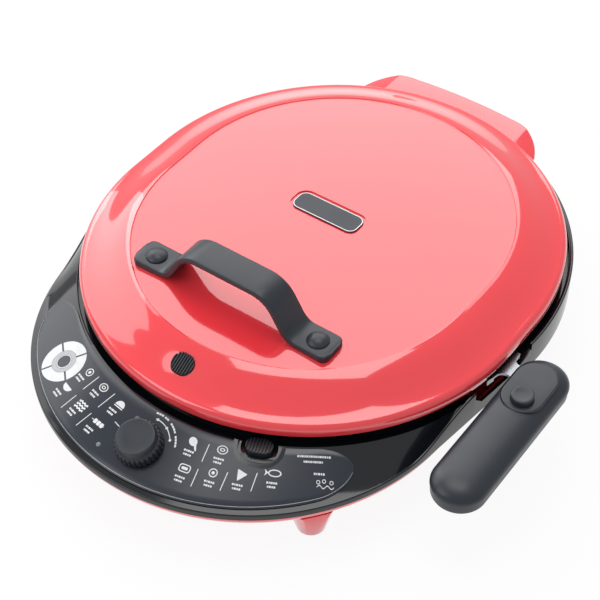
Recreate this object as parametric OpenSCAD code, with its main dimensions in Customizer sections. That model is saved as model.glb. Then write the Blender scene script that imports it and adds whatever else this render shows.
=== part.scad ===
// Electric pizza maker: a table-top cooker with a hinged lid and a folding side handle.
// Built from below: feet and tray, housing with its panel, pan and heater, then the lid.
// The model is drawn round the lid's rear centre, on the table, and moved as a whole at the end.
// X is the user's right, -Y is the front with the controls, Z is up.

/* [Lid] */
// Radius of the lid's round ends at the rim
lid_r = 180; // [172:1:186]
// Straight stretch between the lid's two round ends
lid_straight = 38; // [30:1:46]
// Height of the lid's rim above the table
rim_z = 67; // [66:0.5:72]
// Height of the upright skirt round the lid
skirt_h = 4; // [3:0.5:6]
// Radius that rounds the lid's shoulder
shoulder_r = 6; // [5:0.5:7]
// Wall thickness of the lid shell
lid_t = 2.5; // [2:0.1:3]
// Radius of the crease round the crown
crease_r = 139; // [134:1:144]
// Height of the crease above the rim
crease_rise = 25; // [24:0.5:28]
// Height of the crown's middle above the crease
crown_rise = 4.5; // [3:0.5:7]
// Largest opening angle of the lid
lid_open = 100; // [80:1:100]

/* [Base] */
// Radius of the housing round the rear
rear_r = 186; // [184:0.5:190]
// Radius of the housing round the front
front_r = 172; // [168:1:178]
// Distance from the rear centre to the front centre
front_offset = 110; // [104:1:114]
// Height of the joint between tray and housing
seam_z = 38; // [36:0.5:40]
// Height of the upright flange above the joint, at the front
flange_h = 5.5; // [4:0.5:7]
// Height of the housing's wall at the sides and rear
wall_top_z = 63; // [61:0.5:64]
// Wall thickness of the housing and the tray
wall_t = 2.5; // [2:0.1:3]
// Height of the tray's floor above the table
tray_z = 20; // [17:0.5:22]
// Height of the rubber foot pads below the feet
pad_h = 2; // [1:0.5:3]

/* [Controls] */
// Place of the knob across the front
knob_x = 4; // [-10:1:12]
// Distance of the knob from the housing's front edge
knob_setback = 31.5; // [26:0.5:32]
// Diameter of the knob at its skirt
knob_d = 36; // [32:1:38]
// Height of the knob
knob_h = 13; // [11:0.5:16]
// Angle through which the knob turns
knob_turn = 100; // [60:5:270]
// Number of grips round the knob
knob_grips = 30; // [20:1:36]
// Thickness of the printed panel plate
panel_t = 0.8; // [0.5:0.1:1.2]
// Half the angle that the panel plate spans
panel_half_angle = 44.5; // [40:0.5:48]
// Travel of the ribbed release buttons
button_travel = 3; // [2:0.5:3]

/* [Cooking] */
// Radius of the lower pan's rim
pan_r = 166; // [160:1:168]
// Depth of the lower pan, outside
pan_depth = 13.5; // [12:0.5:14]
// Thickness of the pan and the upper plate
plate_t = 2.4; // [2:0.1:3]
// Radius of the ring that each heating element makes
element_r = 105; // [80:1:120]
// Diameter of the heating element's tube
element_d = 6.5; // [6:0.1:8]

/* [Handles] */
// Height of the lid handle above the table
lid_handle_top = 129; // [124:0.5:136]
// Length of the lid handle
lid_handle_len = 180; // [160:1:190]
// Width of the lid handle's strap
lid_handle_w = 26; // [22:0.5:30]
// Thickness of the lid handle's strap
strap_t = 5; // [4:0.5:6]
// Place of the side handle's fold axis, to the right
fold_x = 209; // [208:0.5:214]
// Half the width of the side handle
grip_r = 21; // [19:0.5:22]
// Length of the side handle from its fold axis to its front centre
grip_len = 110; // [95:1:120]
// Height of the side handle's joint line
grip_z = 60.5; // [60:0.1:61.5]
// Angle through which the side handle swings out
fold_angle = 90; // [45:5:90]

/* [Hidden] */
$fn = 96;

// Clearances
gap = 0.3;
panel_lift = 0.5;
run_fit = 0.05;
hair = 0.15;

// The lid's main line and the pan's centre
front_c = [0, -lid_straight];
rear_c = [0, 0];
pan_c = [0, -lid_straight / 2];
fold_y = pan_c.y - 24;

// Heights in the cooking space, from the ledge that carries the pan
ledge_z = rim_z - 9.5;
pan_floor_z = ledge_z + 2 - pan_depth;
groove_z = ledge_z - 2.5;
frame_z = rim_z + 1.8;
frame_t = 2.5;

function clamp01(t) = max(0, min(1, t));
function mix(a, b, t) = a + (b - a) * t;
function smooth(t) = let(u = clamp01(t)) u * u * (3 - 2 * u);
function polar(r, a) = [r * cos(a), r * sin(a)];

// Outline of the housing and the tray: two circles and their common tangents,
// measured along a ray from a point inside.
function exit_circle(p, d, c, r) = let(q = p - c, b = q * d, k = q * q - r * r) -b + sqrt(max(0, b * b - k));
function exit_tangent(p, d, r1, r2, off) =
    let(
        s = (r1 - r2) / off,
        n = [sqrt(1 - s * s), -s],
        a = [abs(d.x), d.y],
        along = n * a,
        t = along > 0.001 ? (r1 - n * p) / along : -1,
        y = p.y + a.y * t
    )
    (t > 0 && y <= r1 * n.y && y >= r2 * n.y - off) ? t : -1;
function outline_r(p, d, r1, r2, off) =
    let(t = exit_tangent(p, d, r1, r2, off))
    t > 0 ? t : max(exit_circle(p, d, [0, 0], r1), exit_circle(p, d, [0, -off], r2));

// Stations round the base: a start point and a direction for each
front_steps = 48;
rear_steps = 28;
stations = concat(
    [for (i = [0:front_steps]) [front_c, polar(1, 180 + 180 * i / front_steps)]],
    [[pan_c, [1, 0]]],
    [for (i = [0:rear_steps]) [rear_c, polar(1, 180 * i / rear_steps)]],
    [[pan_c, [-1, 0]]]
);

function station_point(s, q) = [s[0].x + s[1].x * q[0], s[0].y + s[1].y * q[0], q[1]];
function housing_r(s) = outline_r(s[0], s[1], rear_r, front_r, front_offset);
function tray_r(s) = outline_r(s[0], s[1], rear_r - 8, front_r - 0.6, front_offset);

// Where the wall's top climbs from the front flange to the side wall
rise_front_y = -150;
rise_rear_y = -80;
function rise(y) = smooth((y - rise_front_y) / (rise_rear_y - rise_front_y));

// The deck: its inner edge lies just outside the lid's rim
deck_gap = 2.5;
deck_inner_z = rim_z - 7;
deck_edge_r = 1.2;
function wall_z(s) = mix(seam_z + flange_h, wall_top_z, rise(s[0].y + s[1].y * housing_r(s)));
function deck_in_r(s) = min(lid_r + deck_gap, housing_r(s) - wall_t);
function deck_in_z(s) = mix(deck_inner_z, wall_top_z - 0.4, rise(s[0].y + s[1].y * housing_r(s)));

// Height of the deck's top at a point on a front station
function deck_z(s, r) =
    let(r0 = deck_in_r(s) + 0.9, r1 = housing_r(s) - deck_edge_r)
    mix(deck_in_z(s), wall_z(s), (r - r0) / (r1 - r0));

// Skin through a list of rings of equal length. A closed skin joins its last ring to its first,
// and an open one is capped at both ends.
module skin(rings, closed) {
    n = len(rings[0]);
    m = len(rings);
    points = [for (r = rings) for (p = r) p];
    last = closed ? m - 1 : m - 2;
    sides = [for (i = [0:last]) for (j = [0:n - 1]) let(
        a = i * n + j,
        b = i * n + (j + 1) % n,
        c = ((i + 1) % m) * n + (j + 1) % n,
        d = ((i + 1) % m) * n + j
    ) each [[a, c, b], [a, d, c]]];
    caps = closed ? [] : [[for (j = [0:n - 1]) j], [for (j = [n - 1:-1:0]) (m - 1) * n + j]];
    polyhedron(points = points, faces = concat(sides, caps), convexity = 8);
}

// A profile drawn to the right of the Z axis, turned round both ends of a straight stretch
module stadium_revolve(straight) {
    rotate_extrude(angle = 180) children();
    translate([0, -straight, 0]) rotate([0, 0, 180]) rotate_extrude(angle = 180) children();
    rotate([90, 0, 0]) linear_extrude(straight) {
        children();
        mirror([1, 0]) children();
    }
}

module stadium(r, straight) {
    circle(r);
    translate([0, -straight]) circle(r);
    translate([-r, -straight]) square([2 * r, straight]);
}

// A rounded bar in plan, w long in X and d deep in Y
module obround(w, d) {
    for (x = [-1, 1]) translate([x * (w - d) / 2, 0]) circle(d / 2);
    square([w - d, d], center = true);
}

module rounded_rect(w, d, r) {
    square([w - 2 * r, d], center = true);
    square([w, d - 2 * r], center = true);
    for (x = [-1, 1]) for (y = [-1, 1]) translate([x * (w / 2 - r), y * (d / 2 - r)]) circle(r);
}

// Screw with a domed head below and its shank pointing up
module screw(shank_d, length, head_d, head_h) {
    translate([0, 0, -head_h]) cylinder(d1 = head_d * 0.8, d2 = head_d, h = head_h);
    translate([0, 0, -0.01]) cylinder(d = shank_d, h = length);
}

// Tube through a list of points, with rings square to its run
function unit(v) = v / norm(v);
function tube_ring(path, i, r, sides) =
    let(
        a = path[max(0, i - 1)],
        b = path[min(len(path) - 1, i + 1)],
        t = unit(b - a),
        side = unit(cross(t, abs(t.z) > 0.9 ? [1, 0, 0] : [0, 0, 1])),
        up = cross(side, t)
    )
    [for (k = [0:sides - 1]) path[i] + r * (cos(360 * k / sides) * side - sin(360 * k / sides) * up)];
module tube(path, r, sides) {
    skin([for (i = [0:len(path) - 1]) tube_ring(path, i, r, sides)], false);
}

// Compression spring standing on Z, as one closed coil of wire
module coil(r, wire_d, height, turns) {
    steps = 10;
    count = turns * steps;
    path = [for (i = [0:count]) [
        r * cos(360 * i / steps), r * sin(360 * i / steps), wire_d / 2 + (height - wire_d) * i / count
    ]];
    tube(path, wire_d / 2, 6);
}

// Base tray

tray_run = 36;
boss_places = [[60, 152], [-60, 152], [124, 106], [-124, 106], [122, -160], [-122, -160], [38, -222], [-46, -214]];
boss_top_z = tray_z + 9;
function boss_ray(p) = norm(p - (p.y > 0 ? rear_c : front_c));
function boss_roof(p) = let(r = boss_ray(p)) r < ledge_r - 6 ? ledge_z - 1.2 : r < lid_r + 4 ? groove_z - 1 : deck_inner_z - 4;
screw_d = 2.6;
foot_places = [[121, -206], [-121, -206], [104, 96], [-104, 96]];
foot_flare = 0.27;
function foot_top_z(p) = tray_z + (p.y < 0 ? 11 : 6.5);
foot_end_r = 11.5;
pad_d = 15;
reflector_posts = [90, 210, 330];
reflector_z = tray_z + 7;

module tray_skin() {
    edge_z = seam_z - gap;
    drop = edge_z - tray_z;
    bend = [for (a = [90:-10:0]) a];
    rings = concat(
        [for (a = bend) [for (s = stations) station_point(s, [tray_r(s) - tray_run * (1 - cos(a)), edge_z - drop * sin(a)])]],
        [
            [for (s = stations) station_point(s, [housing_r(s) - wall_t - gap, seam_z])],
            [for (s = stations) station_point(s, [housing_r(s) - wall_t - gap, seam_z + 2])],
            [for (s = stations) station_point(s, [min(tray_r(s) - wall_t, housing_r(s) - 5), seam_z + 2])]
        ],
        [for (i = [len(bend) - 1:-1:0]) [for (s = stations) station_point(s, [
            min(tray_r(s) - wall_t, housing_r(s) - 5) - tray_run * (1 - cos(bend[i])),
            edge_z - (drop - wall_t) * sin(bend[i])
        ])]]
    );
    skin(rings, false);
}

module foot(top) {
    flare_h = top - pad_h - 3;
    translate([0, 0, pad_h]) {
        cylinder(r1 = foot_end_r - 2.5, r2 = foot_end_r, h = 3);
        translate([0, 0, 3]) cylinder(r1 = foot_end_r, r2 = foot_end_r + foot_flare * flare_h, h = flare_h);
    }
}

module base_tray() {
    color([0.93, 0.22, 0.24]) difference() {
        union() {
            tray_skin();
            intersection() {
                for (p = foot_places) translate([p.x, p.y, 0]) foot(foot_top_z(p));
                linear_extrude(seam_z) polygon([for (s = stations) let(q = station_point(s, [tray_r(s) - 1.5, 0])) [q.x, q.y]]);
            }
            for (p = boss_places) translate([p.x, p.y, tray_z + 1]) cylinder(d = 12, h = boss_top_z - tray_z - 1);
            for (a = reflector_posts) translate(concat(pan_c + polar(70, a), tray_z + 1))
                cylinder(d = 9, h = reflector_z - tray_z - 1);
            translate([-20, 153, tray_z + 1]) cube([40, 11, terminal_z - gap - tray_z - 1]);
        }
        for (p = boss_places) translate([p.x, p.y, 0]) {
            cylinder(d = screw_d + 0.8, h = boss_top_z + 1);
            translate([0, 0, tray_z - 3]) cylinder(d = 7.4, h = 8);
        }
        for (p = foot_places) translate([p.x, p.y, pad_h - 1]) cylinder(d = pad_d + 2 * run_fit, h = 2);
        for (i = [-3:3]) translate([i * 14, -70, tray_z - 1]) linear_extrude(5) rotate(90) obround(60, 4);
    }
}

module foot_pads() {
    color([0.16, 0.16, 0.17]) for (p = foot_places) translate([p.x, p.y, 0]) cylinder(d = pad_d, h = pad_h + 1);
}

module base_screws() {
    color([0.75, 0.75, 0.76]) for (p = boss_places) translate([p.x, p.y, tray_z + 5])
        screw(screw_d, 16, 6.4, 2);
}

// Base housing

opening_r = pan_r - 4;
collar_t = 2.2;
collar_z = pan_floor_z - 1;
ledge_r = lid_r - 6;

function housing_section(s) =
    let(
        ro = housing_r(s),
        ri = deck_in_r(s),
        ze = wall_z(s),
        zi = deck_in_z(s),
        rp = exit_circle(s[0], s[1], pan_c, opening_r),
        w = clamp01((ro - ri - 5) / 5),
        ru = min(ri + collar_t, ro - wall_t - 0.1),
        zu = groove_z - collar_t
    )
    [
        [ro - wall_t, seam_z], [ro - wall_t, mix(zu + 0.15, ze - 3, w)],
        [ru, mix(zu + 0.1, zi - 3.2, w)], [ru, zu], [ledge_r - 2, zu],
        [ledge_r - 2.5, ledge_z - collar_t], [rp + collar_t, ledge_z - collar_t],
        [rp + collar_t, collar_z], [rp, collar_z], [rp, ledge_z], [ledge_r - 0.5, ledge_z],
        [ledge_r, groove_z], [ri, groove_z], [ri, zi - 0.9], [ri + 0.9, zi],
        [ro - deck_edge_r, ze], [ro - 0.35, ze - 0.35], [ro, ze - deck_edge_r], [ro, seam_z]
    ];

module housing_skin() {
    skin([for (s = stations) [for (q = housing_section(s)) station_point(s, q)]], true);
}

// The slot in the right wall for the pan's bracket
slot_y = [fold_y - 37, fold_y + 29];
slot_z = ledge_z - 9;
module bracket_slot() {
    hull() {
        translate([ledge_r - 14, slot_y[0] + 8, slot_z]) cube([40, 38, 40]);
        translate([ledge_r - 14, slot_y[0], ledge_z - 1]) cube([40, slot_y[1] - slot_y[0], 30]);
    }
}

// Hinge at the rear: two stations, each with two ears on the housing and a barrel on the lid
hinge_x = 42;
hinge_y = rear_r + 1;
hinge_z = wall_top_z - 0.5;
ear_r = 5.2;
ear_w = 7;
barrel_w = 14;
pin_d = 4;
module hinge_ears() {
    for (m = [0, 1]) mirror([m, 0, 0]) for (x = [hinge_x - barrel_w / 2 - gap - ear_w, hinge_x + barrel_w / 2 + gap])
        translate([x, 0, 0]) rotate([90, 0, 90]) linear_extrude(ear_w) {
            translate([hinge_y, hinge_z]) circle(ear_r);
            polygon([
                [rear_r - 20, hinge_z - 16], [rear_r - 2, hinge_z - 12], [hinge_y - 0.5, hinge_z - 4.9],
                [hinge_y - 4, hinge_z + 3.6], [rear_r - 14, hinge_z + 0.5 - gap], [rear_r - 20, hinge_z - 4]
            ]);
        }
}

// The knob's own frame: Z leaves the deck square
knob_y = -front_offset - front_r + knob_setback;
knob_station = [front_c, [0, -1]];
knob_ray = front_c.y - knob_y;
knob_tilt = atan((deck_z(knob_station, knob_ray) - deck_z(knob_station, knob_ray + 10)) / 10);
module at_knob() {
    translate([knob_x, knob_y, deck_z(knob_station, knob_ray)]) rotate([knob_tilt, 0, 0]) children();
}

// The pan's release button, out from the pan's centre
release_angle = -90 + 22.4;
release_r = 203.5;
module at_release() {
    translate(pan_c) rotate(release_angle) translate([release_r, 0, 0]) children();
}
latch_z = pan_floor_z + 2.8;
latch_w = 10;
latch_t = 2;
release_w = 20;
release_d = 13;
release_top_z = rim_z - 5.5;
well_z = deck_inner_z - 3;
release_low_z = well_z - collar_t - 0.7;

// The lamp's place on the deck
lamp_at = [-23, -265];
lamp_d = 3.6;
lamp_ray = norm(lamp_at - front_c);
lamp_z = deck_z([front_c, (lamp_at - front_c) / lamp_ray], lamp_ray);
module at_lamp() {
    translate([lamp_at.x, lamp_at.y, lamp_z]) rotate([knob_tilt, -1.5, 0]) children();
}

// The mains cord's gland in the rear wall, in a notch that the tray closes
gland_angle = 52;
gland_z = seam_z + 8.4;
gland_d = 9;
cord_d = 6;
module at_gland() {
    rotate(gland_angle) translate([rear_r, 0, gland_z]) rotate([0, 90, 0]) children();
}

bush_d = 9.6;
module base_housing() {
    color([0.13, 0.14, 0.15]) difference() {
        union() {
            housing_skin();
            for (p = boss_places) translate([p.x, p.y, boss_top_z + gap])
                cylinder(d = 8, h = boss_roof(p) - boss_top_z - gap);
            hinge_ears();
            at_release() translate([0, 0, well_z - collar_t]) linear_extrude(collar_t)
                rotate(90) obround(release_w + 11, release_d + 11);
        }
        bracket_slot();
        for (p = boss_places) translate([p.x, p.y, boss_top_z - 1]) cylinder(d = screw_d + 2 * run_fit, h = 16);
        at_knob() translate([0, 0, -12]) cylinder(d = bush_d + 2 * run_fit, h = 24);
        at_lamp() translate([0, 0, -8]) cylinder(d = lamp_d + 2 * run_fit, h = 16);
        at_release() {
            translate([0, 0, groove_z - 6]) linear_extrude(20) rotate(90) obround(release_w + 0.8, release_d + 0.8);
            translate([0, 0, well_z]) linear_extrude(20) rotate(90) obround(release_w + 7, release_d + 7);
        }
        translate(pan_c) rotate(release_angle) translate([opening_r - 6, -latch_w / 2 - 1, latch_z - gap])
            cube([14, latch_w + 2, latch_t + 2 * gap + 0.4]);
        at_gland() translate([-gland_d / 2 - run_fit, -gland_d / 2 - run_fit, -10])
            cube([gland_d + gland_z - seam_z, gland_d + 2 * run_fit, 14]);
        for (m = [0, 1]) mirror([m, 0, 0]) {
            translate([hinge_x - barrel_w / 2 - gap, hinge_y, hinge_z]) rotate([0, 90, 0]) cylinder(r = ear_r + 1, h = barrel_w + 2 * gap);
            translate([hinge_x - barrel_w / 2 - ear_w - 1, hinge_y, hinge_z]) rotate([0, 90, 0])
                cylinder(d = pin_d + 2 * run_fit, h = barrel_w + 2 * ear_w + 2);
        }
    }
}

module hinge_pins() {
    length = barrel_w + 2 * gap + 2 * ear_w;
    color([0.7, 0.71, 0.72]) for (m = [0, 1]) mirror([m, 0, 0])
        translate([hinge_x - length / 2, hinge_y, hinge_z]) rotate([0, 90, 0]) {
            cylinder(d = pin_d, h = length + 0.8);
            translate([0, 0, -1.2]) cylinder(d = pin_d + 2.4, h = 1.2);
        }
}

module cord_gland() {
    color([0.1, 0.1, 0.11]) at_gland() difference() {
        union() {
            translate([0, 0, -wall_t - 4]) cylinder(d = gland_d, h = wall_t + 5);
            translate([-gland_d / 2, -gland_d / 2, 0.2 - wall_t]) cube([gland_d / 2 + gland_z - seam_z - gap, gland_d, wall_t + 0.6]);
            translate([0, 0, 0.4]) cylinder(d1 = gland_d + 5, d2 = gland_d + 3, h = 2.6);
            translate([0, 0, -wall_t - 2.8]) cylinder(d = gland_d + 3, h = 2.2);
        }
        translate([0, 0, -20]) cylinder(d = cord_d, h = 40);
    }
}

// Panel plate on the deck, a band with rounded ends
panel_inner_inset = 2.6;
panel_outer_inset = 4.5;
panel_round_angle = 7.5;
function panel_span(a) = let(t = (abs(a) - panel_half_angle + panel_round_angle) / panel_round_angle)
    max(0.12, sqrt(max(0, 1 - pow(max(0, t), 2))));
function panel_section(a, lift, thick) =
    let(
        s = [front_c, polar(1, a - 90)],
        r0 = deck_in_r(s) + panel_inner_inset,
        r1 = housing_r(s) - panel_outer_inset,
        half = (r1 - r0) / 2 * panel_span(a),
        mid = (r0 + r1) / 2,
        edge = 0.4
    )
    [for (q = [[mid - half, 0], [mid - half + edge, thick], [mid + half - edge, thick], [mid + half, 0]])
        station_point(s, [q[0], deck_z(s, q[0]) + lift + q[1]])];
function panel_angles() = let(flat = panel_half_angle - panel_round_angle) concat(
    [for (i = [0:9]) -flat - panel_round_angle * cos(9 * i)],
    [for (i = [0:40]) -flat + 2 * flat * i / 40],
    [for (i = [9:-1:0]) flat + panel_round_angle * cos(9 * i)]
);

module control_panel() {
    color([0.27, 0.29, 0.32]) difference() {
        skin([for (a = panel_angles()) panel_section(a, panel_lift, panel_t)], false);
        at_release() translate([0, 0, deck_inner_z - 8]) linear_extrude(20) rotate(90) obround(release_w + 11, release_d + 11);
        at_knob() translate([0, 0, -6]) cylinder(d = bush_d + 2 * run_fit, h = 12);
        at_lamp() translate([0, 0, -6]) cylinder(d = lamp_d + 2 * run_fit, h = 12);
    }
}

module indicator_lens() {
    color([0.95, 0.95, 0.93]) at_lamp() {
        translate([0, 0, -5]) cylinder(d = lamp_d, h = 5 + panel_lift + panel_t);
        translate([0, 0, panel_lift + panel_t - 0.01]) cylinder(d1 = lamp_d, d2 = lamp_d * 0.6, h = 0.6);
    }
}

// Thermostat, its nut and shaft, and the knob

shaft_d = 6;
nut_z = panel_lift + panel_t + 0.1;
nut_h = 2;
under_deck = -3.6;
off_angle = 128;

module thermostat() {
    color([0.75, 0.72, 0.66]) at_knob() difference() {
        union() {
            translate([-13, -12, under_deck - 13]) cube([26, 24, 13]);
            translate([0, 0, under_deck - 1]) cylinder(d = bush_d, h = nut_z + nut_h + 0.4 - under_deck);
            for (x = [-8, 8]) translate([x - 2.4, -0.4 - 8, under_deck - 19]) cube([4.8, 0.8, 7]);
        }
        translate([0, 0, under_deck - 10]) cylinder(d = shaft_d + 2 * run_fit, h = 40);
    }
}

module thermostat_nut() {
    color([0.78, 0.78, 0.8]) at_knob() translate([0, 0, nut_z]) difference() {
        cylinder(d = 15, h = nut_h, $fn = 6);
        translate([0, 0, -1]) cylinder(d = bush_d + 2 * run_fit, h = nut_h + 2, $fn = 96);
    }
}

module knob_shaft() {
    color([0.72, 0.6, 0.35]) at_knob() translate([0, 0, under_deck - 9]) cylinder(d = shaft_d, h = 9 - under_deck + knob_h - 2);
}

module control_knob() {
    skirt_h = knob_h * 0.62;
    top_d = knob_d * 0.8;
    base_lift = panel_lift + panel_t + 0.4;
    color([0.2, 0.21, 0.23]) at_knob() translate([0, 0, base_lift]) rotate(off_angle) difference() {
        union() {
            cylinder(d1 = knob_d, d2 = knob_d - 1.5, h = skirt_h - 1);
            translate([0, 0, skirt_h - 1]) cylinder(d1 = knob_d - 1.5, d2 = knob_d - 3.5, h = 1);
            translate([0, 0, skirt_h]) cylinder(d1 = top_d + 2, d2 = top_d, h = knob_h - skirt_h);
            translate([0, 0, 0]) linear_extrude(skirt_h) polygon([[0, -6], [knob_d / 2 - 1, -5], [knob_d / 2 + 2, 0], [knob_d / 2 - 1, 5], [0, 6]]);
        }
        for (i = [1:knob_grips - 1]) rotate(360 * i / knob_grips) translate([knob_d / 2 + 0.1, 0, -1])
            cylinder(d = 2.2, h = skirt_h + 0.4);
        translate([0, 0, -1]) cylinder(d = 22, h = nut_h + 2.2);
        translate([0, 0, -1]) cylinder(d = shaft_d + 2 * run_fit, h = knob_h - base_lift);
    }
}

// Heater below the pan

element_z = pan_floor_z - gap - element_d / 2;
element_gap = 24;

module heat_reflector() {
    color([0.82, 0.83, 0.84]) translate([pan_c.x, pan_c.y, 0]) difference() {
        rotate_extrude() polygon([
            [0, reflector_z], [142, reflector_z], [150, reflector_z + 7], [150, reflector_z + 8],
            [141.5, reflector_z + 0.8], [0, reflector_z + 0.8]
        ]);
        for (x = [-1, 1]) rotate(-90 + x * element_gap / 2) translate([element_r, 0, reflector_z - 1]) cylinder(d = element_d + 1.5, h = 4);
        translate([0, 0, reflector_z - 1]) cylinder(d = 12 + 2 * run_fit, h = 4);
    }
}

module ring_element(legs_to) {
    rotate(-90 + element_gap / 2) rotate_extrude(angle = 360 - element_gap) translate([element_r, 0]) circle(d = element_d);
    for (x = [-1, 1]) rotate(-90 + x * element_gap / 2) translate([element_r, 0, 0]) {
        translate([0, 0, legs_to]) cylinder(d = element_d + 0.8, h = element_d / 2 - 0.4 - legs_to);
        translate([0, 0, legs_to - 2]) cylinder(d = 3, h = 4);
    }
}

module lower_heating_element() {
    color([0.35, 0.35, 0.36]) translate([pan_c.x, pan_c.y, element_z]) ring_element(reflector_z - 1.5 - element_z);
}

bracket_angles = [30, 150, 270 - 60, 270 + 60];
module saddle(low, high, tube_z) {
    difference() {
        translate([element_r - 6, -1, low]) cube([12, 2, high - low]);
        translate([0, 0, tube_z]) rotate_extrude() translate([element_r, 0]) circle(d = element_d + 0.1);
    }
}

module element_brackets() {
    color([0.8, 0.8, 0.81]) translate([pan_c.x, pan_c.y, 0]) for (a = bracket_angles) rotate(a)
        saddle(reflector_z + 0.8, element_z + 0.5, element_z);
}

module temperature_sensor() {
    color([0.7, 0.7, 0.72]) translate([pan_c.x, pan_c.y, 0]) {
        translate([0, 0, tray_z + wall_t + hair]) cylinder(d = 12, h = pan_floor_z - gap - 4 - tray_z - wall_t - hair);
        translate([0, 0, pan_floor_z - gap - 4.1]) cylinder(d = 18, h = 4.1);
    }
}

module lower_pan() {
    top = ledge_z + 2;
    color([0.16, 0.16, 0.17]) translate([pan_c.x, pan_c.y, 0]) rotate_extrude() polygon([
        [0, pan_floor_z], [pan_r - 18, pan_floor_z], [pan_r - 13.5, pan_floor_z + 2.2],
        [pan_r - 7.5, ledge_z + hair], [pan_r - 0.8, ledge_z + hair], [pan_r, ledge_z + 0.8],
        [pan_r - 0.8, top], [pan_r - 8.4, top], [pan_r - 9.4, top - 0.8],
        [pan_r - 15.2, pan_floor_z + plate_t + 1.6], [pan_r - 18.5, pan_floor_z + plate_t], [0, pan_floor_z + plate_t]
    ]);
}

// Catch on the pan's side that the latch holds down
module pan_catch() {
    wall_r = pan_r - 13.9;
    color([0.75, 0.75, 0.77]) translate([pan_c.x, pan_c.y, 0]) rotate(release_angle) intersection() {
        translate([0, 0, latch_z - 1.8]) difference() {
            cylinder(r = opening_r - 1, h = 1.5);
            translate([0, 0, -1]) cylinder(r1 = wall_r, r2 = wall_r + 2.2, h = 4);
        }
        translate([wall_r - 4, -7, 0]) cube([20, 14, 100]);
    }
}

// Bracket on the pan's rim that carries the folding handle: a wide plate with a filleted tongue
bracket_z = ledge_z + 2 + hair;
bracket_t = 2;
bracket_reach = pan_r + 16.5;
bracket_y = [fold_y - 21, fold_y + 17];
tongue_w = 13;
tongue_fillet = 6;
lip_w = 7;
lip_drop = 2.6;
fold_pin_d = 8;
eye_r = 10.5;
bracket_angle = asin((fold_y - 2 - pan_c.y) / (pan_r - 3.2));
rivet_angles = [bracket_angle - 4.2, bracket_angle + 4.2];

module bracket_band(low, high, r) {
    intersection() {
        translate([pan_r - 20, low]) square([50, high - low]);
        translate(pan_c) circle(r);
    }
}

module bracket_plan() {
    difference() {
        offset(r = -tongue_fillet) offset(delta = tongue_fillet) {
            bracket_band(bracket_y[0], bracket_y[1], bracket_reach);
            translate([pan_r, fold_y - tongue_w / 2]) square([fold_x - pan_r, tongue_w]);
            translate([fold_x, fold_y]) circle(eye_r);
        }
        translate(pan_c) circle(pan_r - 6.2);
        translate([fold_x, fold_y]) circle(d = fold_pin_d + 2 * run_fit);
    }
}

module handle_bracket() {
    color([0.8, 0.8, 0.82]) difference() {
        union() {
            translate([0, 0, bracket_z]) linear_extrude(bracket_t) bracket_plan();
            translate([0, 0, bracket_z - lip_drop]) linear_extrude(lip_drop + 0.5) difference() {
                union() {
                    bracket_band(bracket_y[0] + 0.1, bracket_y[0] + lip_w, bracket_reach - 0.1);
                    bracket_band(bracket_y[1] - lip_w, bracket_y[1] - 0.1, bracket_reach - 0.1);
                }
                translate(pan_c) circle(bracket_reach - bracket_t);
            }
        }
        for (a = rivet_angles) translate(concat(pan_c + polar(pan_r - 3.2, a), bracket_z - 1)) cylinder(d = 2.5 + 2 * run_fit, h = 4);
    }
}

module bracket_rivets() {
    color([0.85, 0.85, 0.86]) for (a = rivet_angles) translate(concat(pan_c + polar(pan_r - 3.2, a), 0)) {
        translate([0, 0, bracket_z]) cylinder(d = 2.5, h = bracket_t + 0.3);
        translate([0, 0, bracket_z + bracket_t + 0.05]) cylinder(d1 = 4.4, d2 = 2.6, h = 0.9);
    }
}

// Release buttons and latches. In this frame X points out from the plate and Z is up,
// with the button's axis on Z and the latch's underside at zero.
module latch_cam(top) {
    rotate([90, 0, 0]) linear_extrude(6, center = true) polygon([
        [-3.5, -1], [-1.5, -1], [3.5, 4], [3.5, top], [-3.5, top]
    ]);
}

module latch_tongue(reach, tail) {
    rotate([90, 0, 0]) difference() {
        linear_extrude(latch_w, center = true) polygon([
            [-reach, 0], [tail, 0], [tail, latch_t], [-reach + 1, latch_t], [-reach, latch_t - 1]
        ]);
        linear_extrude(6.8, center = true) polygon([
            [-3.9 - button_travel, -1], [-0.5 - 0.7, -1], [-0.2 + latch_t, latch_t + 0.1], [-3.9 - button_travel, latch_t + 0.1]
        ]);
    }
}

module ribbed_cap(w, d, low, high, slope) {
    difference() {
        translate([0, 0, low]) linear_extrude(high + 8 - low) rotate(90) obround(w, d);
        translate([0, 0, high]) rotate([0, slope, 0]) {
            translate([-20, -20, 0]) cube([40, 40, 30]);
            for (i = [-3.5:1:3.5]) translate([-20, i * w / 8.6 - 0.55, -1.1]) cube([40, 1.1, 3]);
        }
    }
}

module pan_release_button() {
    color([0.08, 0.08, 0.09]) at_release() {
        translate([0, 0, latch_z]) latch_cam(release_low_z + 1 - latch_z);
        ribbed_cap(release_w, release_d, release_low_z, release_top_z, 0);
        for (y = [-release_w / 2 - 2.4, latch_w / 2 + 0.6]) translate([-0.8, y, release_low_z - 1.5])
            cube([5.2, release_w / 2 + 1.8 - latch_w / 2, 1.8]);
    }
}

guide_floor_z = latch_z - gap;
spring_floor_z = tray_z + 12;
module pan_release_spring() {
    color([0.75, 0.75, 0.76]) at_release() translate([-2.5, 0, spring_floor_z]) coil(2, 0.7, latch_z - 1 - spring_floor_z, 7);
}

module pan_latch() {
    color([0.72, 0.72, 0.74]) at_release() translate([0, 0, latch_z]) latch_tongue(release_r - opening_r + 3, 9);
}

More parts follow.
